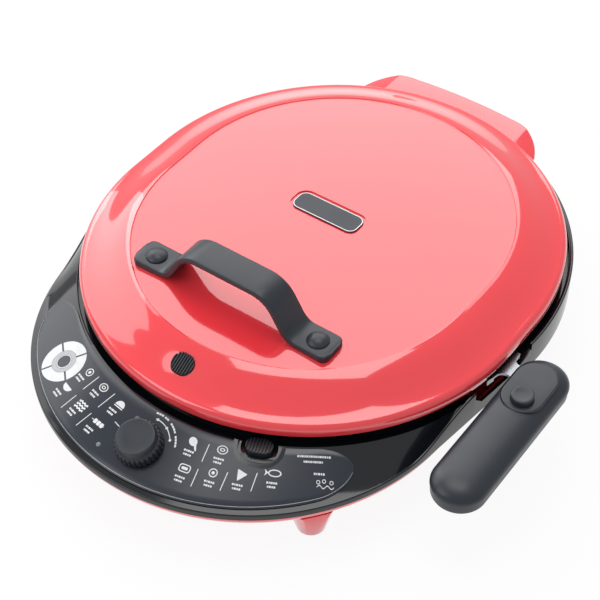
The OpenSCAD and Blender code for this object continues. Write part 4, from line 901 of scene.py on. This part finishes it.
# Ends of the thin lines between the marks
DIVIDERS = (((-58.8, -222.4), (-63.2, -235.8)), ((-38.4, -228.1), (-42.8, -242.4)),
            ((-64.5, -241.9), (-68.5, -255.0)), ((-44.1, -248.4), (-48.0, -261.4)),
            ((46.9, -225.1), (50.1, -238.1)), ((51.3, -243.6), (54.5, -256.4)),
            ((70.2, -234.3), (73.4, -247.6)), ((87.6, -223.1), (91.4, -235.9)),
            ((-23.7, -245.7), (-18.4, -247.1)))
DISC_AT, WAVE_AT, END_TURN = (-93.8, -223.0), (131.0, -202.5), 34
SIGN_SCALE = 0.8


def icon(ink, kind, at, turn):
    """A plain generic sign of the kind of food."""

    def mark(outline, hole=None, more=0):
        ink.patch(outline, at, turn + more, hole)

    ink.scale = SIGN_SCALE
    if kind == "ball":
        mark(circle(4.0, 28), circle(3.1, 28))
        mark(circle(1.5, 28))
    elif kind == "ring":
        mark(scaled(circle(4.0, 28), 1.25), scaled(circle(3.2, 28), 1.25))
        mark(scaled(circle(1.6, 28), 1.5), scaled(circle(0.9, 28), 1.5))
    elif kind == "bun":
        mark(arc((0, -2), 5.2, 0, 180, 20))
        mark([(-5.2, -3.8), (5.2, -3.8), (5.2, -2.8), (-5.2, -2.8)])
    elif kind == "bowl":
        mark(scaled(arc((0, 2), 5.8, 180, 360, 20), 1, 0.9))
    elif kind == "waves":
        for dy in (-3.2, 0.0, 3.2):
            top = [(x, dy + 0.9 + 0.6 * math.sin(x * 1.6)) for x in np.linspace(-6, 6, 24)]
            ink.band(top, shifted(top, 0, -1.7), at, turn)
    elif kind == "skewer":
        mark([(-8, -0.3), (8, -0.3), (8, 0.3), (-8, 0.3)])
        for x in (-3.2, 1.0, 5.2):
            mark(shifted(rect_outline(3.6, 4.4, 0.8, 3), x))
    elif kind == "drop":
        tail = [(7.6, -2.6), (8.2, -1.4)]
        mark(shifted(scaled(arc((0, 0), 3.6, 20, 340, 20), 1.25), -1.2) + tail, more=-40)
    elif kind == "loaf":
        mark(rect_outline(11, 7.4, 2.6, 6), rect_outline(9.2, 5.6, 2.0, 6))
        mark(rect_outline(6, 2.6, 1.0, 4))
    elif kind == "slice":
        mark(soften([(-5, 4.0), (5, 4.0), (0, -5.6)], 1.2), more=-20)
    elif kind == "leaf":
        top = [(x, 3.2 * math.sqrt(max(0.0, 1 - ((x - 1) / 6) ** 2)))
               for x in np.linspace(-5, 7, 22)]
        inner = [(1 + (x - 1) * 0.8, y * 0.7) for x, y in top]
        mark(*([(x, -y - 0.01) for x, y in line] + [(x, y + 0.01) for x, y in line[::-1]]
               for line in (top, inner)))
        mark([(-4.6, 0), (-8, -2.8), (-7.2, 0), (-8, 2.8)])
    ink.scale = 1.0


def block_rows(ink, at, turn, widths, pitch=2.8):
    """Rows of small plain blocks under a sign."""
    out = math.radians(turn)
    along = np.array([math.cos(out), math.sin(out)])
    for row, width in enumerate(widths):
        centre = np.array([at[0] + math.sin(out) * row * pitch,
                           at[1] - math.cos(out) * row * pitch])
        x, k = -width / 2, row
        while x + (block := (1.3, 0.8, 1.6, 1.0)[k % 4]) <= width / 2:
            ink.patch(rect_outline(block, 1.45, 0.3, 2), tuple(centre + along * (x + block / 2)),
                      turn)
            x, k = x + (block + 0.4), k + 1


class PIZZA_OT_panel(bpy.types.Operator):
    """Lays the semi-gloss panel film on the deck, with its printed marks and a painted highlight
    line along its outer edge
    """
    bl_idname = "pizza.panel"
    bl_label = "Control panel"

    def execute(self, context):
        sizes = context.scene.pizza_sizes
        panel = skin("panel_film", [panel_section(a) for a in panel_angles(120, 18)], closed=False)
        cut = [at_release("well", WELL_FLOOR_SIZE, 20, 52, 72)]
        lamp_seat = deck_seat(LAMP_AT, deck_at(*LAMP_AT)) @ Matrix.Rotation(
            math.radians(LAMP_TURN), 4, "Y")
        for seat, r in ((KNOB_SEAT, SHAFT_HOLE_R), (lamp_seat, LAMP_HOLE_R)):
            cut.append(transform(round_pillar("hole", r, -6, 6, (0.0, 0.0)), seat))
        combine(panel, cut, "DIFFERENCE")
        finish_piece(panel, MATERIALS["panel_grey"], "base", ["control_panel"])

        # Painted highlight: a thin pale grey line along the film's outer edge, where its bevelled
        # edge catches the light
        edge_highlight, inset = Print(), 1.1
        angles = [a for a in panel_angles(150, 24) if abs(a) < PANEL_HALF_ANGLE - 0.3]
        edge_highlight.band(*([ray_place(a, panel_limits(a, off)[1]) for a in angles]
                      for off in (inset, inset + millimetres(sizes.border_width))))
        edge_highlight.build("panel_border", "grey_print_and_highlight", "panel_grey")

        # Smooth lip round the release button's well
        lip = Print()
        lip.band(*(arc((3.5, 0), r, 8, -90, 20) + arc((-3.5, 0), r, -90, -188, 20)
                   for r in (15.2, 12.4)), tuple(RELEASE_AT), RELEASE_ANGLE + 90)
        lip.build("well_lip", "black_gloss", "black_gloss")

        # Round sign at the left: four white quarters, a grey ring and a white rim round the middle
        ink, grey, gap = Print(), Print(), 2.2
        for k in range(4):
            a0, a1 = 90 * k, 90 * k + 90
            ink.band(arc((0, 0), 17.5, a0 + gap, a1 - gap, 20),
                     arc((0, 0), 9.6, a0 + 2 * gap, a1 - 2 * gap, 20), DISC_AT, 45)
        grey.patch(circle(9.4, 40), DISC_AT, hole=circle(6.2, 40))
        ink.patch(circle(5.9, 40), DISC_AT, hole=circle(5.2, 40))
        grey.build("panel_print_grey", "grey_print_and_highlight", "panel_grey")

        for marks, back, below in ((LEFT_MARKS, 0.3, 6.6), (RIGHT_MARKS, 0, 6.8)):
            for angle, r, kind in marks:
                icon(ink, kind, ray_place(angle, r), angle)
                block_rows(ink, ray_place(angle - back, r + below), angle, (8.5, 7))
        for a, b in DIVIDERS:
            ink.bar(a, b, millimetres(sizes.line_width))

        # Scale round the knob: an arc with three dots, and plain bars outside it
        ink.band(arc(KNOB_AT, 21.6, 96, 38, 30), arc(KNOB_AT, 20.9, 96, 38, 30))
        dot, dash = circle(1.0, 40)[::2], rect_outline(1.9, 1.3, 0.3, 2)
        for sign, r, places in ((dot, 21.3, (92, 65, 38)),
                                (dash, 25.5, (99, 94, 89, 82, 77, 66, 61, 56, 51, 42, 37, 32, 27))):
            for a in places:
                t = math.radians(a)
                ink.patch(sign, (KNOB_AT[0] + r * math.cos(t), KNOB_AT[1] + r * math.sin(t)),
                          0 if sign is dot else a - 90)

        # Rows of blocks and a wavy sign with three rings at the right end
        block_rows(ink, (113.5, -191.0), END_TURN, (24, 15), 3.6)
        block_rows(ink, (123.0, -198.3), END_TURN, (8,))
        wave = [(x, math.sin(x * 1.1)) for x in np.linspace(-6, 6, 24)]
        ink.band(wave, shifted(wave, 0, -0.7), WAVE_AT, END_TURN)
        for place in ((-5.0, 2.6), (-1.0, 3.4), (4.2, 2.8)):
            ink.patch(circle(1.4, 16, place), WAVE_AT, END_TURN, hole=circle(0.9, 16, place))
        ink.build("panel_print", "print", "panel_grey")
        return {"FINISHED"}


# ---------------------------------------------------------------- knob

def knob_profile():
    """The knob's half section: radius, height, and how far its grips cut in there."""
    r, top_r, skirt = KNOB_D / 2, KNOB_D * 0.4, KNOB_H * 0.62
    return [(r - 0.5, 0.0, 1), (r - 0.1, 0.3, 1), (r, 0.8, 1), (r - 0.5, skirt - 1.6, 1),
            (r - 0.9, skirt - 0.8, 1), (r - 1.6, skirt - 0.25, 0.5), (r - 2.4, skirt, 0.1),
            (top_r + 1.1, skirt + 0.1, 0), (top_r + 0.9, skirt + 0.6, 0),
            (top_r + 0.35, KNOB_H - 0.9, 0), (top_r, KNOB_H - 0.3, 0), (top_r - 0.5, KNOB_H, 0),
            (top_r - 1.1, KNOB_H, 0), (top_r - 1.6, KNOB_H - 0.1, 0),
            (top_r * 0.5, KNOB_H - 0.12, 0), (0.0, KNOB_H - 0.12, 0)]


class PIZZA_OT_knob(bpy.types.Operator):
    """Turns the control knob with its grips and pointer"""
    bl_idname = "pizza.knob"
    bl_label = "Control knob"

    def execute(self, context):
        sizes = context.scene.pizza_sizes
        lift, hollow_r, hollow_h = PANEL_TOP + 0.4, 11, 3.0
        profile = knob_profile()
        steps = sizes.knob_grips * 12
        rings = []
        for i in range(steps):
            t = 2 * math.pi * i / steps
            # No grips near the pointer, a nose that stands out over about 12 degrees each side
            near = min(t, 2 * math.pi - t)
            valley = max(0.0, -math.cos(sizes.knob_grips * t)) ** 0.8 if near > 0.14 else 0.0
            groove, nose = millimetres(sizes.grip_depth) * valley, 2.0 * smooth(1 - near / 0.2)
            section = [(r - groove * g + nose * g, h) for r, h, g in profile]
            section += [(0.0, hollow_h), (hollow_r, hollow_h), (hollow_r, 0.0)]
            rings.append([(r * math.cos(t), r * math.sin(t), h + lift) for r, h in section])
        knob = skin("control_knob_moulding", rings, left_out=(len(profile) - 1,))
        transform(knob, KNOB_SEAT @ Matrix.Rotation(math.radians(OFF_ANGLE), 4, "Z"))
        finish_piece(knob, MATERIALS["knob_grey"], "knob", ["control_knob"], angle=40)
        return {"FINISHED"}


# ---------------------------------------------------------------- handles

def strap_edge(off):
    """Right half of the strap's upper or lower line, in X and Z, at an offset from its middle."""
    c, s = math.cos(math.radians(STRAP_SLOPE)), math.sin(math.radians(STRAP_SLOPE))
    mid_z, bends = HANDLE_TOP - STRAP_T / 2, STRAP_BEND_TOP + STRAP_BEND_FOOT
    reach = bends * s + (mid_z - FOOT_MID_Z - bends * (1 - c)) / s * c
    flat = HANDLE_LEN / 2 - HANDLE_FOOT_LEN - reach
    return ([(0.0, mid_z + off)]
            + arc((flat, mid_z - STRAP_BEND_TOP), STRAP_BEND_TOP + off, 90, 90 - STRAP_SLOPE, 12)
            + arc((flat + reach, FOOT_MID_Z + STRAP_BEND_FOOT), STRAP_BEND_FOOT - off,
                  270 - STRAP_SLOPE, 270, 12))


def strap_ring(w, edge):
    """Section of the strap: places across its width, and shares of its thickness."""
    side = [(w - edge, 0.0)]
    side += [(w - edge * (1 - math.sin(a)), edge * (1 - math.cos(a)) / STRAP_T)
             for a in (0.5, 1.05, 1.57)]
    side += [(w - edge * (1 - math.cos(a)), 1 - edge * (1 - math.sin(a)) / STRAP_T)
             for a in (0.0, 0.5, 1.05)]
    side.append((w - edge, 1.0))
    return [(edge - w, 0.0)] + side + [(-q, h) for q, h in side[:0:-1]]


class PIZZA_OT_lid_handle(bpy.types.Operator):
    """Moulds the strap handle and its two domed caps"""
    bl_idname = "pizza.lid_handle"
    bl_label = "Lid handle"

    def execute(self, context):
        edge = millimetres(context.scene.pizza_sizes.strap_edge)
        end, half_t = HANDLE_LEN / 2, STRAP_T / 2
        spine = list(zip(strap_edge(half_t), strap_edge(-half_t)))
        foot_x = spine[-1][0][0]
        for x in (mix(foot_x, end, t) for t in np.linspace(0.15, 1.0, 14)):
            spine.append(((x, FOOT_MID_Z + half_t), (x, FOOT_MID_Z - half_t)))
        rings = []
        for u, l in [((-u[0], u[1]), (-l[0], l[1])) for u, l in spine[:0:-1]] + spine:
            past = max(0.0, abs((u[0] + l[0]) / 2) - (end - STRAP_CORNER))
            w = HANDLE_W / 2 - (STRAP_CORNER - math.sqrt(max(0.0, STRAP_CORNER ** 2 - past ** 2)))
            u, l = np.array(u), np.array(l)
            rings.append([(HANDLE_X + (l + (u - l) * h)[0], HANDLE_Y + q, (l + (u - l) * h)[1])
                          for q, h in strap_ring(w, edge)])
        strap = skin("lid_handle_strap", rings, closed=False)
        foot = rect_outline(HANDLE_FOOT_LEN - 0.1, HANDLE_W - 0.1, STRAP_CORNER - 0.1, 8)
        foot_at = ((end - HANDLE_FOOT_LEN) + (end - 0.05)) / 2
        combine(strap, [prism("foot_block", foot, FOOT_LOW_Z, FOOT_MID_Z,
                              at=(HANDLE_X + side * foot_at, HANDLE_Y)) for side in (-1, 1)],
                "UNION")
        combine(strap, [lid_fill(-0.05)], "DIFFERENCE")
        finish_piece(strap, MATERIALS["handle_grey"], "lid", ["lid_handle"],
                     angle=35)

        low, r = FOOT_MID_Z + half_t + 0.05, CAP_D / 2
        ball = (CAP_D ** 2 / 4 + CAP_DOME ** 2) / (2 * CAP_DOME)
        line = [(0.0, low), (r - 0.3, low), (r, low + 0.25), (r, low + 0.7)]
        for z in CAP_DOME * np.linspace(0.12, 1.0, 14):
            across = math.sqrt(max(0.0, ball ** 2 - (z - CAP_DOME + ball) ** 2))
            line.append((across, low + 0.8 + z))
        for side, word, nodes in ((-1, "left", ()), (1, "right", ["handle_caps"])):
            cap = lathe("handle_cap_" + word, line, arcs=48,
                        centre=(HANDLE_X + side * HANDLE_FOOT_X, HANDLE_Y))
            finish_piece(cap, MATERIALS["handle_grey"], "lid", nodes, angle=50)
        return {"FINISHED"}


def dome_line(r, rise, steps):
    """Quarter section of the side handle's domed top, from its edge to its middle."""
    return [(r * math.cos(a), GRIP_Z + GRIP_BAND + rise * math.sin(a))
            for a in np.linspace(0, math.pi / 2, steps)]


def grip_pad(r):
    """Raised plate round the side handle's button, with a rounded upper edge."""
    levels = [(0.0, GRIP_Z + 4)]
    levels += [(PAD_EDGE * (1 - math.cos(a)), PAD_TOP_Z - PAD_EDGE * (1 - math.sin(a)))
               for a in np.linspace(0, math.pi / 2, 6)]
    return skin("pad", [[(FOLD_X - 1 + x, y, z)
                         for x, y in arc((0, FOLD_Y - 6), r - inset, 0, 180, 24)
                         + arc((0, FOLD_Y - 25), r - inset, 180, 360, 24)]
                        for inset, z in levels], closed=False)


def bracket_room():
    """Room in the side handle for the bracket, from its left side round to the rear."""
    return box_solid("room", (FOLD_X - 60, FOLD_Y - 12, BRACKET_LOW_Z),
                     (FOLD_X + 12, FOLD_Y + 48, BRACKET_HIGH_Z))


class PIZZA_OT_side_handle(bpy.types.Operator):
    """Moulds the two shells of the folding side handle, its raised plate and its push button"""
    bl_idname = "pizza.side_handle"
    bl_label = "Side handle"

    def execute(self, context):
        along = {"centre": (FOLD_X, FOLD_Y), "straight": GRIP_LEN}
        line = [(0.0, GRIP_Z), (GRIP_R - 0.3, GRIP_Z), (GRIP_R, GRIP_Z + 0.25)]
        shell = lathe("grip_upper_moulding", line + dome_line(GRIP_R, GRIP_RISE, 22), **along,
                      arcs=48, runs=16)
        line = [(0.0, GRIP_Z - 1), (GRIP_R - WALL_T, GRIP_Z - 1)]
        line += dome_line(GRIP_R - WALL_T, GRIP_RISE - WALL_T, 14)
        hollow = lathe("hollow", line, **along, arcs=32, runs=8)
        combine(shell, [grip_pad(PAD_R)], "UNION")
        button_hole = round_pillar("button_hole", FOLD_BUTTON_D / 2 + 0.3, GRIP_Z - 1, GRIP_Z + 39,
                                   FOLD_BUTTON_AT, 48)
        combine(shell, [hollow, button_hole, bracket_room()], "DIFFERENCE")
        finish_piece(shell, MATERIALS["handle_grey"], "side_handle",
                     ["grip_upper_shell"], angle=35)

        floor, r, bend = GRIP_Z - GRIP_LOW, GRIP_R - 0.6, 3.0
        line = [(0.0, floor)]
        line += [(r - bend + bend * math.sin(a), floor + bend * (1 - math.cos(a)))
                 for a in np.linspace(0, math.pi / 2, 8)]
        line += [(r, GRIP_Z - 0.3), (r - 0.2, GRIP_Z - 0.1), (r - WALL_T, GRIP_Z - 0.1),
                 (r - WALL_T, floor + WALL_T), (0.0, floor + WALL_T)]
        lower = lathe("grip_lower_moulding", line, **along, arcs=48, runs=16)
        combine(lower, [bracket_room()]
                + [round_pillar("screw_well", GRIP_SCREW_R, floor - 1, floor + 4,
                                (FOLD_X, FOLD_Y + y), 24) for y in (-55, 4 - GRIP_LEN)],
                "DIFFERENCE")
        finish_piece(lower, MATERIALS["handle_grey"], "side_handle",
                     ["grip_lower_shell"], angle=35)

        # Push button: a round edge and a shallow dish on top
        low, top, r, bend = GRIP_Z + 2.6, PAD_TOP_Z + FOLD_BUTTON_H, FOLD_BUTTON_D / 2, 1.2
        line = [(0.0, low), (r, low), (r, top - 1.3)]
        line += [(r - bend + bend * math.cos(a), top - bend + bend * math.sin(a))
                 for a in np.linspace(0.2, math.pi / 2, 6)]
        line += [(r * 0.72, top), (r * 0.66, top - 0.12), (r * 0.3, top - 0.45), (0.0, top - 0.5)]
        button = lathe("fold_button_moulding", line, centre=FOLD_BUTTON_AT, arcs=48)
        finish_piece(button, MATERIALS["knob_grey"], "handle_button",
                     ["fold_button"], angle=40)
        return {"FINISHED"}


# ---------------------------------------------------------------- pieces kept from the frame

# The frame's own parts, by the finish that they get
KEPT_NODES = {
    "bright_steel": """
        base_screws element_brackets temperature_sensor pan_catch handle_bracket bracket_rivets
        thermostat_nut pan_release_spring pan_latch hinge_pins inner_frame_screws
        upper_element_brackets plate_release_spring plate_latch handle_screws handle_nuts
        grip_screws fold_pin fold_button_spring""",
    "black_matte": """
        pan_release_button pan_latch_guide cord_gland lid_inner_frame plate_release_button
        plate_latch_guide""",
    "reflector_sheet": "heat_reflector thermostat upper_reflector",
    "element_steel": "lower_heating_element upper_heating_element",
    "coated_aluminium": "lower_pan upper_plate",
    "pad_rubber": "foot_pads",
    "lens": "indicator_lens",
    "brass": "knob_shaft",
    "block_plastic": "terminal_block",
    "wire_red": "internal_wiring",
    "fuse_ceramic": "thermal_fuse",
    "handle_grey": "badge_plate",
}


class PIZZA_OT_kept_parts(bpy.types.Operator):
    """Gives the frame's own parts their finishes, and the bare badge its polished line"""
    bl_idname = "pizza.kept_parts"
    bl_label = "Metal and inner parts"

    def execute(self, context):
        for slot, names in KEPT_NODES.items():
            for obj in (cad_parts[name] for name in names.split()):
                obj.data.materials.clear()
                obj.data.materials.append(MATERIALS[slot])
                obj.data.shade_smooth()
                obj.data.set_sharp_from_angle(angle=math.radians(30))
        # Thin polished line round the badge, a little inside its edge
        rings = [[(BADGE_AT[0] + x, BADGE_AT[1] + y, BADGE_TOP_Z + z)
                  for (x, y), z in ((o, -0.04), (o, 0.06), (i, 0.06), (i, -0.04))]
                 for o, i in zip(badge_outline(-0.5), badge_outline(-1.0))]
        finish_piece(skin("badge_line", rings), MATERIALS["reflector_sheet"], "lid")
        return {"FINISHED"}


# ---------------------------------------------------------------- stage

# Camera and soft boxes, in metres
CAMERA_AT, CAMERA_AIM = (0.4789, -0.6812, 0.8899), (-0.001795, -0.037983, 0.067)
CAMERA_ROLL, CAMERA_SENSOR, CAMERA_LENS = -0.959, 36.0, 90.6
FLOOR_HALF = 6
OBJECT_MIDDLE = (0.0, 0.0, 0.06)
SOFT_BOXES = (("back", (-0.63, 0.84, 0.98), OBJECT_MIDDLE, (1.8, 1.1)),
              ("overhead", (-0.1, 0.15, 1.65), (0.0, -0.1, 0.06), (1.0, 0.7)),
              ("left", (-1.35, 0.1, 0.8), OBJECT_MIDDLE, (1.1, 1.0)),
              ("front", (-0.7, -1.0, 1.15), OBJECT_MIDDLE, (0.8, 0.8)))


def set_down(scene, name, data):
    """Puts a new object in the scene."""
    obj = bpy.data.objects.new(name, data)
    scene.collection.objects.link(obj)
    return obj


class PIZZA_OT_stage(bpy.types.Operator):
    """Sets the floor, the soft studio light and the camera"""
    bl_idname = "pizza.stage"
    bl_label = "Floor, light and camera"

    def execute(self, context):
        scene = context.scene
        look = scene.pizza_stage
        scene.view_settings.view_transform = "Standard"

        place = Vector(CAMERA_AT)
        back = (place - Vector(CAMERA_AIM)).normalized()
        side = Vector((0, 0, 1)).cross(back).normalized()
        up = back.cross(side)
        roll = math.radians(CAMERA_ROLL)
        right = side * math.cos(roll) + up * math.sin(roll)
        top = -side * math.sin(roll) + up * math.cos(roll)
        data = bpy.data.cameras.new("camera")
        data.sensor_width, data.lens = CAMERA_SENSOR, CAMERA_LENS
        camera = set_down(scene, "camera", data)
        camera.matrix_world = Matrix([*zip(right, top, back, place), (0, 0, 0, 1)])
        scene.camera = camera

        far = FLOOR_HALF
        mesh = bpy.data.meshes.new("floor")
        mesh.from_pydata([(-far, -far, 0), (far, -far, 0), (far, far, 0), (-far, far, 0)], [],
                         [(0, 1, 2, 3)])
        floor = set_down(scene, "floor", mesh)
        # Matte painted board, near-white: it shows plain white to the camera and in reflections,
        # and keeps a share of the shadow
        material, tree, surface, out = shader("painted_studio_floor", Roughness=0.9, IOR=1.2,
                                              Base_Color=linear("#F4F4F4"))
        rays = add(tree, "ShaderNodeLightPath").outputs
        mirrored = add(tree, "ShaderNodeMath", {0: rays["Is Glossy Ray"],
                                                1: rays["Is Transmission Ray"]},
                       operation="MAXIMUM")
        seen = add(tree, "ShaderNodeMath", {0: rays["Is Camera Ray"], 1: mirrored.outputs[0]},
                   operation="MAXIMUM")
        share = add(tree, "ShaderNodeMath", {0: seen.outputs[0]}, operation="MULTIPLY",
                    i1=look.floor_glow)
        glow = add(tree, "ShaderNodeEmission", Color=(1, 1, 1, 1), Strength=1.0)
        both = add(tree, "ShaderNodeMixShader", {0: share.outputs[0], 1: surface.outputs[0],
                                                 2: glow.outputs[0]})
        tree.links.new(both.outputs[0], out.inputs[0])
        mesh.materials.append(material)

        scene.world = bpy.data.worlds.new("studio")
        scene.world.use_nodes = True
        air = scene.world.node_tree.nodes["Background"]
        air.inputs["Color"].default_value = (1, 1, 1, 1)
        air.inputs["Strength"].default_value = look.air_light

        for name, spot, target, size in SOFT_BOXES:
            lamp = bpy.data.lights.new(name, "AREA")
            lamp.shape, lamp.energy = "RECTANGLE", getattr(look, name + "_light")
            lamp.size, lamp.size_y = size
            box = set_down(scene, name, lamp)
            box.location = spot
            box.rotation_mode = "QUATERNION"
            box.rotation_quaternion = (Vector(target) - Vector(spot)).to_track_quat("-Z", "Y")
        return {"FINISHED"}


# ---------------------------------------------------------------- settings, panel and run

class PIZZA_PG_colours(bpy.types.PropertyGroup):
    """Colours of the finishes that a user would change"""
    lid_red: bpy.props.StringProperty(
        name="Lid red", description="sRGB hex of the lid and tray", default="#F23C45")
    housing_black: bpy.props.StringProperty(
        name="Housing black", description="sRGB hex of the housing", default="#0B0F16")
    panel_grey: bpy.props.StringProperty(
        name="Panel grey", description="sRGB hex of the panel film", default="#1E2632")
    handle_grey: bpy.props.StringProperty(
        name="Handle grey", description="sRGB hex of both handles", default="#272D36")
    knob_grey: bpy.props.StringProperty(
        name="Knob grey", description="sRGB hex of the knob", default="#2C3138")
    ink_white: bpy.props.StringProperty(
        name="Ink white", description="sRGB hex of the printed marks", default="#E9ECEE")


class PIZZA_PG_sizes(bpy.types.PropertyGroup):
    """Sizes of the fine detail that the frame leaves open"""
    knob_grips: bpy.props.IntProperty(
        name="Knob grips", description="Number of grips round the knob", default=30, min=8, max=48)
    grip_depth: bpy.props.FloatProperty(
        name="Grip depth", description="How far the knob's grips cut in", default=0.00095,
        min=0.0001, max=0.002, precision=5, unit="LENGTH")
    strap_edge: bpy.props.FloatProperty(
        name="Strap edge", description="Rounding of the lid handle's edges", default=0.0013,
        min=0.0002, max=0.002, precision=5, unit="LENGTH")
    handle_grain: bpy.props.FloatProperty(
        name="Handle grain", description="Size of the grain on both handles", default=0.0006,
        min=0.0002, max=0.003, precision=5, unit="LENGTH")
    line_width: bpy.props.FloatProperty(
        name="Line width", description="Width of the lines between the printed marks",
        default=0.0006, min=0.0002, max=0.002, precision=5, unit="LENGTH")
    # Width of the painted highlight line along the panel's outer edge
    border_width: bpy.props.FloatProperty(
        name="Border width", description="Width of the light line along the panel's outer edge",
        default=0.0003, min=0.0002, max=0.002, precision=5, unit="LENGTH")


class PIZZA_PG_stage(bpy.types.PropertyGroup):
    """Light and floor of the studio"""
    floor_glow: bpy.props.FloatProperty(
        name="Floor glow", description="Share of plain white in what the camera sees of the floor",
        default=0.92, min=0, max=1, subtype="FACTOR")
    air_light: bpy.props.FloatProperty(
        name="Air light", description="Strength of the light from all round", default=0.55,
        min=0, max=2)
    back_light: bpy.props.FloatProperty(
        name="Back light", description="Power of the softbox behind on the left", default=12.5,
        min=0, max=100, unit="POWER")
    overhead_light: bpy.props.FloatProperty(
        name="Overhead light", description="Power of the softbox above", default=6.5,
        min=0, max=100, unit="POWER")
    left_light: bpy.props.FloatProperty(
        name="Left light", description="Power of the softbox on the left", default=6.5,
        min=0, max=100, unit="POWER")
    front_light: bpy.props.FloatProperty(
        name="Front light", description="Power of the softbox in front on the left", default=4,
        min=0, max=100, unit="POWER")


GROUPS = {"pizza_colours": PIZZA_PG_colours, "pizza_sizes": PIZZA_PG_sizes,
          "pizza_stage": PIZZA_PG_stage}
STEPS = ("lid", "housing", "tray", "panel", "knob", "lid_handle", "side_handle", "kept_parts",
         "stage")


class PIZZA_PT_parts(bpy.types.Panel):
    """Lists the settings and the pieces"""
    bl_idname = "PIZZA_PT_parts"
    bl_label = "Pizza maker"
    bl_space_type = "VIEW_3D"
    bl_region_type = "UI"
    bl_category = "Pizza maker"

    def draw(self, context):
        for group in (getattr(context.scene, name) for name in GROUPS):
            for name in group.bl_rna.properties.keys():
                if name not in ("rna_type", "name"):
                    self.layout.prop(group, name)
        for step in STEPS:
            self.layout.operator("pizza." + step)


CLASSES = (*GROUPS.values(), PIZZA_OT_lid, PIZZA_OT_housing, PIZZA_OT_tray, PIZZA_OT_panel,
           PIZZA_OT_knob, PIZZA_OT_lid_handle, PIZZA_OT_side_handle, PIZZA_OT_kept_parts,
           PIZZA_OT_stage, PIZZA_PT_parts)


def register():
    """Makes the classes and the settings known to Blender."""
    for cls in CLASSES:
        bpy.utils.register_class(cls)
    for name, group in GROUPS.items():
        setattr(bpy.types.Scene, name, bpy.props.PointerProperty(type=group))


def unregister():
    """Takes the settings and the classes away again."""
    for name in GROUPS:
        delattr(bpy.types.Scene, name)
    for cls in reversed(CLASSES):
        bpy.utils.unregister_class(cls)


def main():
    register()
    scene = bpy.context.scene
    MATERIALS.update(make_materials(scene.pizza_colours, scene.pizza_sizes))
    for step in STEPS:
        getattr(bpy.ops.pizza, step)()
    bpy.context.view_layer.update()


if __name__ == "__main__":
    main()
